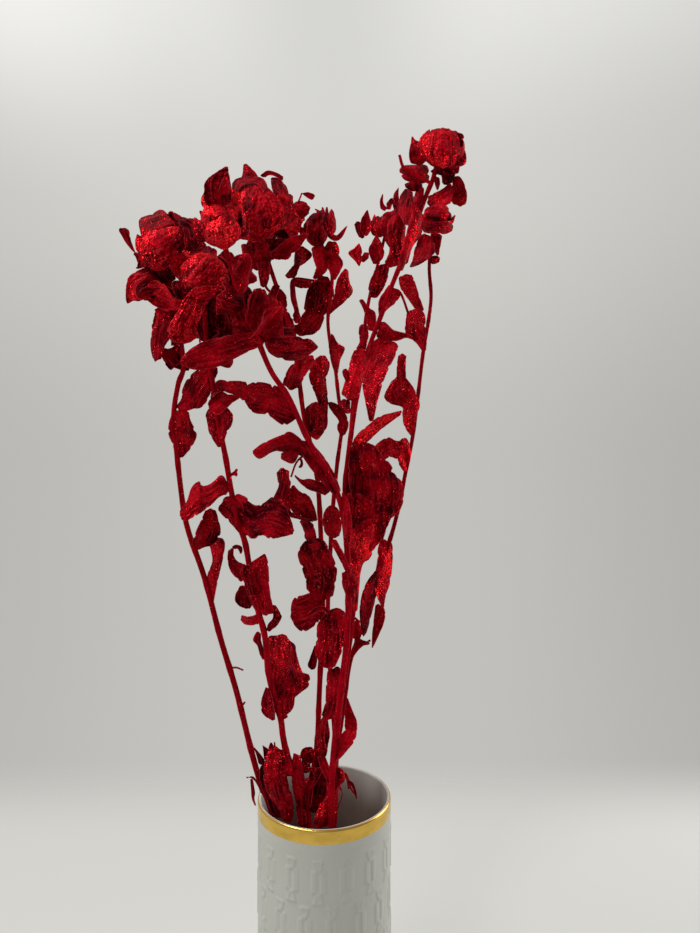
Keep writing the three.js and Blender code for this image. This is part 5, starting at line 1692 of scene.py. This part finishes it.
SHEETS["stem_left"] = (
    ((-31, 227.5, -2.5, -8.5, -1, -9, 2.5, -10, 5, -7, 4, -9), (7, -1.5, 2, -8, 1, -10, 3, -11, 0.5, -8,
     -1.5, -6), -22, 3, 0.55, -0.6),
    ((-37, 216, -1.5, 6, -1.8, 4.3), (4, 0, -2, 4.5, -4.8, 5.7), -14, 0.3, 0, -1.6),
    ((-34, 218, -0.6, 6, -0.4, 3.5), (3, 1, -0.5, 5.5, -3, 2.5), -14, 0.3, 0, -1.6),
    ((-32, 222, 0.4, 4, 1.1, 3), (4, 1, -1, 4, -1, 2), -16, 0.3, 0.2, -1.2),
    ((-29, 225, 0.3, 2, 0.3, 2.3), (1.5, 0, -0.3, 2, -0.3, 2.3), -18, 0.2, 0.2, -1.2),
    ((-36, 217, -1, -7, 2, -7), (5, 0, 0, -7, 0, -7), -13, 0.5, 0, -1.6),
    ((-33, 199, 2, -8, 4, -5), (6, -2, 1.5, -5, 3.5, -5), -16, 0.8, 0, -1.6),
    ((-29, 192, 3, -4, 3, -3.5), (5, 0, 3, -2, 3, -3), -14, 0.5, 0, -1.6),
    ((-28, 223, 0.5, -7, 6.5, -6.5), (6, 1, 3.5, -8, 1.5, -6), -20, 1.2, 0.1, -0.1),
    ((-15, 181, -1.3, 14, -2.2, 11, 0.9, 8.5), (5, 0, -0.5, 14, -0.8, 9, -1.2, 9.5), -19, 1, 0.2, -0.3),
    ((-12, 190, 1, 13, 2, 6, 1, 5.5), (4, 0, 2, 13, 3, 6, 2.5, 5), -17, 1, 0.2, -0.3),
    ((-17.8, 213, 3.8, -1.5, 5, 0.5, 5, 0.5, 4, 0.5), (0.8, 2.5, 4, -1, 3, 0.5, 5, -0.5, 4, 0.5), -14, 0.4,
     0.25, 0.1),
    ((-12, 226, -1.7, -4, 1.7, -6), (3.5, 0.8, 3, -2.3, -1, -8.5), 0, 1.2, 0.5, -0.7),
    ((-17, 213, 1.5, 4, 2.5, 1.3), (9, 0, 0, 4, -4.5, 1), -12, 0.8, 0.5, -1),
    ((-34, 197, -4, 8, -3, 3.7, -3.5, 0.8), (1, 0.5, -3.8, 7.5, -3.7, 4.6, -3.5, -0.8), -14, 0.3, 0.1),
    ((-42, 208.5, 0.5, -6.5, 0.5, -5, 1.7, -3.8), (1.2, 0, 1.3, -7.5, -0.3, -4, 1, -3.8), -16, 0.4, 0.1,
     0),
    ((-62, 444, -8, -2.5, -7, -5.5, -3.5, -7, -0.5, -5, -3.5, -5), (2, -4, -3, -7, -2, -7, -4, -6.5,
     -6, -1.5, -6, -2), -36, 2, 0.15, -0.3, 16),
    ((-60, 396, -5, 8, -1.5, 7, -2.5, 9), (2.5, 1, 2, 7, 3.5, 7, -0.5, 11), -32, 1.5, 0.3, -0.4, -2),
    ((-63, 431, 3, 3.5, 6, -0.5, 6, 0, 6, -1), (-3, -9, 6, 5.5, 6, -0.5, 5, -2, 5, -4), -35, 1.5, 0.2,
     -0.3, -16),
    ((-66.5, 420, 2.5, 5, 5, 3, 5, -1.5, 7, -1), (2.5, -3, 3, -2.5, 4, 2.5, 4, 4, 5, 3.5), -37, 1, 0.1),
    ((-55, 378, -4, 2.5, -5, -4.5, -5, -1.5, -2, 2.5, -4, -3, -3.5, -9, -4, -5), (2, -8, -6, -1.5,
     -6, -5.5, -4, -3, -3, -2, -3, -1.5, -4, -2, -2.5, 1.5), -30, 2, 0.2, 0.1, -16),
    ((-62, 363, 5, -6, 6, -6, 5, -7), (9, 8, 6, -5, 1.5, -8, 1.5, -12), -30, 1.5, 0.2, 0, 9),
    ((-50, 369, 5, -2, 6, -3.5, 5, 1.5, 5, 3, 7, -6, 4.5, -11), (3, -17, 4, -6, 3, -1.5, 5, 2, 4, -2, 7, 1,
     7, 2), -28, 2, 0.25, -0.7, -12),
    ((-51, 370, 4, -0.5, 4, -2.5), (1, -4, 3, -0.5, 3, -1), -33, 0.5, 0.5, 0.4),
    ((-48, 351, 3, 2.5, 4.5, -0.5), (2, -4, 4, -0.5, 2, 3.5), -29, 0.8, 0.1, 0.1),
    ((-53.5, 381.5, 2.5, 1, 1.5, 1.3), (0.5, -1.5, 2, 0.5, 2, -1.5), -31, 0.4, 0.3, 0.2),
    ((-46, 319.5, -3, 2, -4, 4.5, -1.8, 6, 0.3, 6.5), (3, 7.5, -2, 3, -4, 1.5, -2.5, 3.5, 0, 4.5), -25, 1,
     0.2, -0.3, 12),
    ((-53, 339.5, 3, 1.7, 3, -1.2, 0.5, -3), (2, -1, 1.5, 0.5, 1, -1, 1, -2.5), -26, 0.5, 0.1, -1),
    ((-38, 302, -4, 7, -4, 11, -1.5, 7, 6.5, 4.5, 7, 4.5), (10, -2, -2, 8, -1, 7, -0.5, 8, -0.5, 8,
     -1.5, 4.5), -23, 3, 0.25, -0.1, -6),
    ((-38, 303, 1, 9, 0, 10), (10, -2, -2.5, 11, -1.5, 10), -27, 1, 0.2, 0.3),
    ((-47, 305.5, -3.5, 3.5, 0.5, 5, 3, 5), (4, -1, 2, 2.5, -1, 5, -1, 5), -23, 2, 0.2, -0.6, 7),
    ((-36, 304, -4, -3, -4, -0.5, -4, 1), (2, -7, -4, -1, -4, -0.5, -5, 1), -23, 0.8, 0.3, 0.4, 8),
    ((-33, 291, 1, 5, 3, 4, -1, 7), (5, 2.5, 3.7, 6.5, -1.7, 4, -2, 3), -22, 1, 0.2, -0.7, 3),
    ((-25, 244, -3, 7, -1.5, 7, -1.5, 8, -1, 7, -0.5, 7, 0, 7, 3.5, 5.5), (2, -0.5, 5, 4.5, 2, 7, 7, 6,
     0.5, 6, -4, 2, -3.5, 11, 0, 7.5), -18, 3, 0.3, -0.25, 33),
    ((-35, 276, -1.5, 3, -1.5, 5, -2.5, 3.5, 2.5, 5), (1, 0, -0.5, 3, -0.5, 4, -1, 4, 0, 4), -21, 0.8, 0.2,
     -0.4, 4),
    ((-32, 242.5, -3.8, 4.5, 0.3, 7, 2.5, 7), (4, -1.5, 0, 5, -1, 6, -2, 7), -18, 1.5, 0.2, -0.3, -4),
)
SHEETS["stem_front"] = (
    ((-35, 459, -7.6, 2.6, -10.4, -1.6, -9, -2, -9, -2.6, -8, -6.1, -3, -4.8), (1.3, -4.4, -8.9, -3.6,
     -8.8, -4.4, -8.9, -4.4, -12.4, -1.8, -8.3, 2.6), -58, 3, 0.2, 0.1, -10),
    ((-34, 457.5, 6, 1.5, 8.4, 0.5, 10.6, -1.5, 5.4, -4.5), (0.3, -3.5, 3.7, -5, 8.6, -3.3, 8.9, 0.9,
     8.5, 5.9), -59, 2.5, 0.2, -0.1, 6),
    ((-52, 466, 12, 0, 12, -1, 12, -1), (0, -8, 12, -1, 12, -1, 12, 0), -54, 0.5, 0.1, -0.8),
    ((1, 215, 0.5, -9, -1, -8, -4.5, -8, -2, -8), (9, 1, 1.5, -8, -3.5, -5, -0.5, -10, -1.5, -7), -22, 1.5,
     0.8, -0.1),
    ((-2, 196, -2.5, -7, -3, -9), (5, 0, 0.5, -8, -0.5, -8), -25, 1.2, 0.7, -0.2),
    ((-4, 222, 2, -8, 4, -8), (4, 0, 3, -8, 1, -8), -24, 0.8, 0.2, -0.1),
    ((-3, 213, -5, -8, -2.5, -10, 2.5, -6.5), (4, 1, 1, -10, -1, -10, -2, -5), -12, 1.5, 0.2, -1),
    ((1, 246, -4, -6, -2.5, -8, -0.5, -10), (2, 1, -2, -8, -1, -7, 2, -10), -6, 1, 0.2, -0.2),
    ((9, 212, 3.5, -0.5, 1.5, -5.5, 0.3, -3), (0, -3, 3, 0, 1, -3.5, 0.3, -3), -9, 0.4, 0.3, -0.3),
    ((13, 208, 3.2, -2, 1.8, -5, 0.4, -4), (0, -1, 2.6, -3, 1.4, -3.5, 1, -3.5), -8, 0.4, 0.1, -0.1),
    ((7, 204, 3, -4, -3, -11), (2, 1, 1, -7, -5, -10), -20, 0.6, 0.4, -0.6),
    ((-15, 417, -9, 12, -6, 3, -9, 1.5, -6, -2.5), (-0.5, -4, -7.5, -4, -9, 5.5, -9, 2, -5, 7.5), -50, 2,
     0.2, -0.1, 20),
    ((-10, 398, -9, 7, -6, -2, -6, -2.5, -5, -2.5, -5, -4), (0, -8, -7, 3, -7, 1, -5, 0, -7.5, -4,
     -3.5, 2), -47, 1.5, 0.2, -0.1, 1),
    ((-14, 395, -1, -4, -2, -3.5), (-10, 0, -0.5, -5, 5.5, -3), -48, 1, 0.2, -0.2, 7),
    ((-15, 399, 3, -8.5, 8, -11, 10, -11), (5.5, 2.5, 9.5, -11, 6, -10, 3.5, -9.5), -47.5, 0.8, 0.15, -0.2,
     3.5),
    ((-14, 390.5, 1.5, -1.5, 0.5, -4), (0.2, -1, 0.3, -2.5, -2, -3), -46, 0.2, 0.1, -0.3),
    ((3, 376, -6, 1, -5, 1.5, -5, -0.2, -4, 2.5), (0, -8, -6, 2.5, -6, 2, -4, 3, -3.8, 4.3), -44, 1, 0.15,
     -0.5, 3),
    ((11, 340, 0, 10, -1, 12, 0, 10), (3, 0, 1.5, 8, -0.5, 10, -2, 10), -45, 1, 0.2, 0.2),
    ((12.5, 312, -2.5, 7, 0, 8), (4.5, -2, 2, 8, -3, 8), -39, 1, 0.2, 0.2),
    ((12, 326, -4, 8, -5, 9), (3, 1, -4, 9, -5, 9), -41, 0.8, 0.2, 0.1),
)
SHEETS["stem_middle"] = (
    ((-10, 313, -0.5, 7, -2, 7, -2.5, 9.5, 5, 8.5), (14, -5, 2, 10, 1, 10, -4, 10, -4, 7), 10, 3, 0.25,
     -0.45, -17),
    ((-9, 341, 3, 1, 3, 2), (0, -1, 4, -2, 3, 2), -11, 0.5, 0.2, 0.3),
    ((0, 307, -5, 7, -7, -1.5, -5, -1.5, -2.5, -6), (-1, -5, -3, -5, -4, -3.5, -5, -1.5, -6, 5.5), 10, 2.5,
     0.2, -0.1),
    ((-9, 302, 4, 3.5, 5, 0.5, 3, -3), (1, -1.5, 4, 2.5, 4, 0.5, 2, -2), -9, 0.5, 0.1, -0.7),
    ((-11, 343, -1, 7, -3, 6), (7, -2, -1, 7, -2, 7), 13, 1, 0.2, -0.6, 9),
    ((-26, 354, -3, 5, 0, 8, 3, 7, -0.5, 4, -1, 6.5), (5, 1, 2, 6, -1, 7, 1, 8, -1, 3, 0.2, 6), -8, 2, 0.3,
     -0.2, -4),
    ((-22, 368, 3, -7, 4, -3, 5, -2, 5, -1.5), (3, 9, 5, -5.5, 5, -2.5, 3.5, -7, 1.5, -7), -6, 1.5, 0.45,
     0, 18),
    # a dark sheet painted in as the shadow in the hollow of the cupped leaf
    ((-27, 361, 4, 0.5, 5, -1.5), (2, -5, 3, -0.5, 3, 1.5), -10, 0.3, 0, -1.6),
    ((-19, 360, 7, -3, 6, 0), (-1, -3, 8, -2, 6, -1), -6, 0.3, 0.1, -1.2, 14),
    ((-7, 270, -2.5, 3, 2.5, 7, 1.5, 4), (2, 1, 1, 6, 0, 6, -0.5, 1), 8, 0.8, 0.2, -0.4, -4),
    ((-6, 401.5, -4.5, 7.5, -1, 8, 5.5, 5.5), (3, 0, 4.5, 6.5, 0, 8, -2.5, 6), 16, 1.5, 0.15, -0.6, -4),
    ((-9, 405, 3, -0.5, 6, 2.5), (1.5, -3, 3.5, -1.2, 3, 3.2), 14, 0.5, 0.2, 0.2),
    ((-2, 416, -3, 10, -3, 7, -0.5, 7, 4.5, 8), (3.5, -5, 0.5, 13, -1, 10, 2, 9.5, -3, 5.5), 13, 1.5, 0.25,
     -0.4, -9),
    ((-24.5, 430, 2.5, 8, 4, 6, 8, 6), (9.5, -2, 3, 7, 3, 5, 5, 7), 16, 1.5, 0.25, 0, 8),
)
SHEETS["stem_right"] = (
    ((37, 528, -1.5, -10, 2, -10, 2.5, -9), (10, 3, -1, -10, -1, -11, -2, -11), -14, 2, 0.3, -0.35),
    ((49, 536, 0.5, -8, -3, -10, -3, -11, -1.5, -10), (2, -0.5, 4, -7.5, -1.5, -10, -4.5, -10, -5, -12),
     -30, 1.2, 0.4, 0.1),
    ((18, 454, -3, -7.5, -1.5, -6.5, -2.5, -8.5, -2.5, -8.5), (8, -4, -2, -7, -2.5, -7, -1.5, -7, 0.5, -6),
     -17, 3.5, 0.6, 0.4, 5),
    ((9, 424, 0, -5, 4, -4), (6, 0, -0.5, -5, 1, -3), -17, 0.5, 0.2, -0.2),
    ((10, 440, 1, -4, 2, -3), (2, 1.5, 2, -3.5, -0.5, -5), -14, 0.4, 0.2, -0.5),
    ((27, 460, -3, -12, -2.5, -12, 0.5, -8, 3.5, -17), (16, -3, -3, -9, -5, -10, -4, -12, -3.5, -15), -18,
     2, 0.4, 0, -18),
    ((29, 466, 5, 1.5, 5, -4.5, 7, -2, 4, -1.5), (1, -11, 6, 1, 6, 1, 4, 1.5, 4, -1), -18, 1, 0.6, 0.2,
     -3),
    ((42, 494, 1, -7, 4, -6, 5, -7), (7, 1, 2, -4, 2.5, -8, 3.5, -10.5), -21, 1.5, 1.1, 0.1, 19),
    ((31, 471, -0.5, 6, 1.5, 5, 5, 7), (1.5, 0, 3.5, 4, 5, 4, 2, 5, -4, 3), -20, 1, 0.25, 0.15, 4),
    ((16, 400, 4, 5, 5, 4, 6, 4.8, 7, 2, 6, 1.5), (-1, -5, 5, 2, 5, 3, 6, 5.5, 7, 5.5, 5.5, 4), -10, 1.2,
     0.9, 0.1, 7),
    ((16, 302, -1, 20, -1, 12, 1, 10, 1, 10), (2.5, 1, 2.5, 25, 5, 6, 6, 13, 4, 11), -2, 3, 1, 0.1, -10),
    ((15, 338, -1, 12, -2, 12, -0.5, 10, 0.5, 10, 1, 10, 4, 7), (16, -1, 5, 15, 5, 12, 2, 9, -4.5, 12,
     -4.5, 5.5, -8, 9.5), -6, 3, 0.3, -0.5, -6),
    ((12, 370, 5, 0.5, 5, -0.5), (1, -4, 4, 0, 4, 0), -12, 0.5, 0.3, 0.5),
    ((14.5, 394, -1, -9, 0.5, -10, 2, -9), (7.5, 1, 3, -10, -0.5, -9, -3.5, -10), -11, 1.5, 0.25, -0.7),
    ((31, 383, -1.5, -9, 1.5, -10, 4, -7.5), (12, -2, 2, -10, -1.5, -9, -5.5, -6), -9, 1.5, 0.45, 0.05),
    ((42, 499, 2, 9, 3, 12, 2, 10, 1.5, 9), (5, 1, 3, 10, 5.5, 8, -2.5, 10, -1.5, 10), -22, 1.5, 0.6, 0.35,
     18),
    ((45.5, 523, -3.5, 7, 0, 7, 4, 6.5), (1.5, -1, 2.5, 5, 1, 7, -0.5, 8), -24, 1.5, 0.2, -0.6, 22),
    ((51.5, 531, -0.5, 7, 2, 7), (1.5, 0, 3, 6, 0.5, 7), -28, 1, 0.3, 0.2),
    ((74, 550, 3, -0.5, 3, -5.5, 0.8, -6, -1.3, -5.5), (-1, -1, -0.5, -5, -1, -5, 0.5, -3, 2, -2.5), -27,
     1.5, 0.25, -0.2),
    ((58, 538, 4, 2.5, 5, 2.5, 8, 7), (0.5, -5.5, 5.5, 0.5, 6, 1, 3.5, 3), -27, 1, 0.8, 0.1, -6),
    ((50, 546.5, -5, 2, -2.5, 4.5, 2, 3.5), (8, -1, 1.5, 4.5, -1.5, 6, -6, 0.5), -27, 3, 0.3, -0.3, 11),
    ((45.5, 547, 0.5, -3, 4, -2.5), (10.5, 0, -1, -4, -3, -1.5), -30, 1, 0.1, -0.9),
    ((27, 481, -2, 4, 1, 6, 4, 9), (2.5, 0, 3.5, 4.5, 3, 7.5, 1, 9), 10, 1, 0.3, -0.4),
    ((25, 462, -1, 6, -2, 7, -2.5, 5), (4, 0, 0, 10, -4, 4, -3.5, 4.5), 5, 0.8, 0.2, -0.1),
    ((17, 451, 3, 5, -0.5, 5, 0.5, 5), (6, -1, 1, 5, 1, 5, -1, 7), 3, 0.8, 0.2, -0.5),
    ((33, 500, 3.5, 6, 0.5, 6), (7, -3, 2, 7, 0, 8), 12, 1, 0.3, -0.4),
    ((28, 500, -1.5, 3, -1.5, 5, 1.5, 4, 3, 5), (2, 0.5, 3, 3, 1, 3.5, -1, 4, -3.3, 5.8), 11, 1, 1, 0.1),
)
SHEETS["stem_far_right"] = (
    ((55.5, 451, -3.5, 4.5, -6, 5.5, 0, 6, 1, 7.5), (2, 0, 0.5, 6, -0.5, 6, -0.5, 8, -3, 4.5), 38, 1, 0.35,
     -0.4, 10),
    ((49, 403, -4, 6, -1, 9, -1, 10, 0, 8), (1.5, 0, 1.5, 10, 2, 8, -3.5, 9, -4.5, 6), 32, 1.5, 1, 0.2, 3),
    ((41, 434, 0, 8, 1, 7.5), (5.5, -1, -0.5, 9, 0.5, 7.5), 32, 0.8, 0.3, 0.1),
    ((42, 420, -5, 1.5, -3, 4, 5, 10), (3, -1, -1, 6, 0, 5, -1, 7), 31, 1, 0.3, -0.3),
    ((47.5, 384, 1.5, 9, -2.5, 8.5, -5.5, -1.5, -5, 2, -6, -3.5, -4, -5.5), (-2, -2, -3, 4, -0.5, 2.5,
     -3, 2, -3, 0, -4, -2.5, -4, 0.5), 29, 1.5, 0.7, 0, -11),
    ((33, 345, -2.5, -5, -0.5, -8, -1.5, -9, 0.5, -9, 4, -9), (3, -2, 2.5, -2, 0, -11, -1.5, -11, -2, -6,
     -1.5, -8), 25, 1.5, 1, 0.1, -2),
    ((21, 291, -1, 12, 1, 9, 3, 8, 6, 8), (1, -2, 2, 3, 3, 11, 2.5, 10, 1.5, 9), 18, 1.2, 0.2, -0.5, -1),
    ((27, 282, 0, 8, 1, 9, 1, 9), (1, 2, 5, 11, 1.5, 7, -1.5, 5), 19, 1, 0.6),
    ((16, 289, 5, -1.5, 5, -2.3), (1, -10, 4, 4.5, 4, 1), 18, 0.4, 0.2, -0.2),
    ((17, 286, -1.5, 6, 0, 6), (5, 4, -2, 6, 0.5, 3), 17, 0.8, 0.3, 0.2),
    ((55, 518, -3.5, -8, -1.5, -7, -2, -5), (5, -1, 3, -8, -3, -5, -8, -5), 38, 1.2, 0.25, -0.5),
    ((59, 504, 3, 1, 3, 0), (1, -4, 3, 0.5, 3, 1.5), 42, 0.8, 0.2, -0.4),
)
SHEETS["head_top_right"] = (
    ((60, 576, -3.5, -5, 0, -7, 3.5, -6.5), (5.5, 1.8, -1, -7.8, -0.5, -8, 1.5, -7), -44, 2, 1.1, 0.35),
    ((69, 577, 0.5, -9, 0.5, -8, -1, -5), (5, -2.5, 3, -7.5, -0.5, -6, -4, -6), -43, 2, 0.6, -0.1),
    ((63.5, 578, -1.5, -8, 0, -8, 3, -7.5), (7.5, -1, 1, -8, -0.5, -8, -2, -6.5), -47, 2.5, 1.1, 0.35),
    ((71, 571, 1, 4, 1.5, 1), (3, -5, 3, 2, -1.5, 6), -42, 1, 0.5, 0.3),
    ((76, 568.5, 3, -2.5, 1.5, -6, -1.5, -3.5, -7, -2), (-0.5, -2.5, 2, -3, 0, -3, -1.5, -2, -4, -1.5),
     -36, 0.6, 0.3, 0.1),
    ((49.8, 573.5, -1.3, -6.5, -0.5, -6, 1.5, -5), (1.2, -3, 5, -2, 3, -5.5, -2, -7), -40, 1.5, 0.3, -0.2),
    ((59, 556, 2, -4, 5, -1, 1, -5.5), (15, 0, 0, -6, -1, -3, -4, -2), -36, 1.5, 0.15, -0.8),
    ((62, 550, 0.5, -4, 1.5, -4), (3, 0, 0.5, -4, -1, -3.5), -30, 0.5, 0.2, -0.2),
)
SHEETS["head_right"] = (
    ((56, 532, 5, 1, 5, 0.5, 5.5, -0.5), (-1, -8, 6, 2, 5, -0.5, 4.5, 0.5), 34, 1.5, 0.5, -0.1),
    ((54.5, 529, 2.5, -3, 5, -1, 6, 0.5, 3, -1.5), (0, -10, 3.5, -1, 6, -0.5, 5, 0, 4.8, 2.5), 33, 4, 0.25,
     -0.6),
    ((57, 529.5, 4, -0.5, 4, -0.5), (0.5, -3, 4.5, -1, 4, 0), 28, 0.3, 0, -1.4),
    ((60, 518, 0, -6, 4, -7), (7, 0, -1, -6, -1.2, -6.5), 38, 0.8, 0.2, -0.1),
)
SHEETS["head_side_branch"] = (
    ((24.3, 531, -3.3, -5, -0.5, -6, 1.5, -3.5), (0.2, -0.2, 1.7, -5.8, 0.3, -5, -2.5, -4), 6, 1, 0.4,
     -0.1),
    ((16.5, 524, 1.5, -5, 2, -4), (4.5, 1, 0.5, -5, 1.5, -5.5), 8, 0.6, 0.1, -0.8),
    ((19.7, 512, -3.2, -3, -3, -2.5, 3.5, -4, 2.7, -3.5), (0.1, -0.2, 1.2, -2.8, 0.3, -3, -0.3, -3.5,
     -1.1, -3.3), 15, 0.6, 0.3, 0.1),
    ((21, 506, 0, -3, -0.5, -2.5), (4, 2, 0.3, -3, -0.5, -2.5), 15, 0.5, 0.2),
    ((26, 526, 0, -6, 2, -5), (7, 2.5, 1, -6.5, 1, -6), 8, 1.5, 0.3, -0.5),
    ((33, 540, -1.5, -4, 0.5, -6), (0.2, -0.2, 0.3, -5.3, 3.5, -3.5), 10, 0.5, 0.2),
    ((34, 533, 3, 4, 2, 1), (3, -3, 1, 3, 1, 2), 10, 0.5, 0.2),
    ((42.2, 543.8, -2.7, -3.8, -0.7, -6, 1.2, -6), (-0.2, -0.3, 0, -4.5, 1, -5, 1, -7), 4, 1, 0.15, -0.6),
    ((34, 531, -2, -7, 1, -8, 5, -8), (10, 0, -1, -8, -1, -8, 0, -9), 6, 3, 0.45, -0.1),
)


# ---- Putting it together ----


def corners() -> list[list[float]]:
    """The shown object's lowest and highest corner, as plain lists."""
    return [list(corner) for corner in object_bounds()]


def neck_of(head: Head) -> tuple[Array, float]:
    """Where a head's neck starts, just beyond the end of its stem, and its radius there."""
    stem = next(stem for stem in STEMS if stem.name == head.stem)
    shoot = stem.branch if head.on_branch and stem.branch else stem
    before, last = (sight(*point) for point in shoot.route[-2:])
    return last + unit(last - before) * 0.3, shoot.radii[1]


def main() -> None:
    """Builds the studio, the vase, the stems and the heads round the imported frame."""
    logging.basicConfig(level=logging.INFO, format="%(message)s")
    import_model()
    bpy.context.scene.view_settings.view_transform = "Standard"
    Studio().build()
    Vase().build(GildedBisque("gilded_bisque").build())
    leaf = DyedLeaf("dyed_leaf").build()
    bract = DyedLeaf("dyed_bract", spread=1.25).build()
    sheets = {name: tuple(Sheet(*row) for row in rows) for name, rows in SHEETS.items()}
    for stem in STEMS:
        stem.build(sheets[stem.name], leaf)
    for head in HEADS:
        head.build(*neck_of(head), sheets[head.name], bract)


if __name__ == "__main__":
    main()
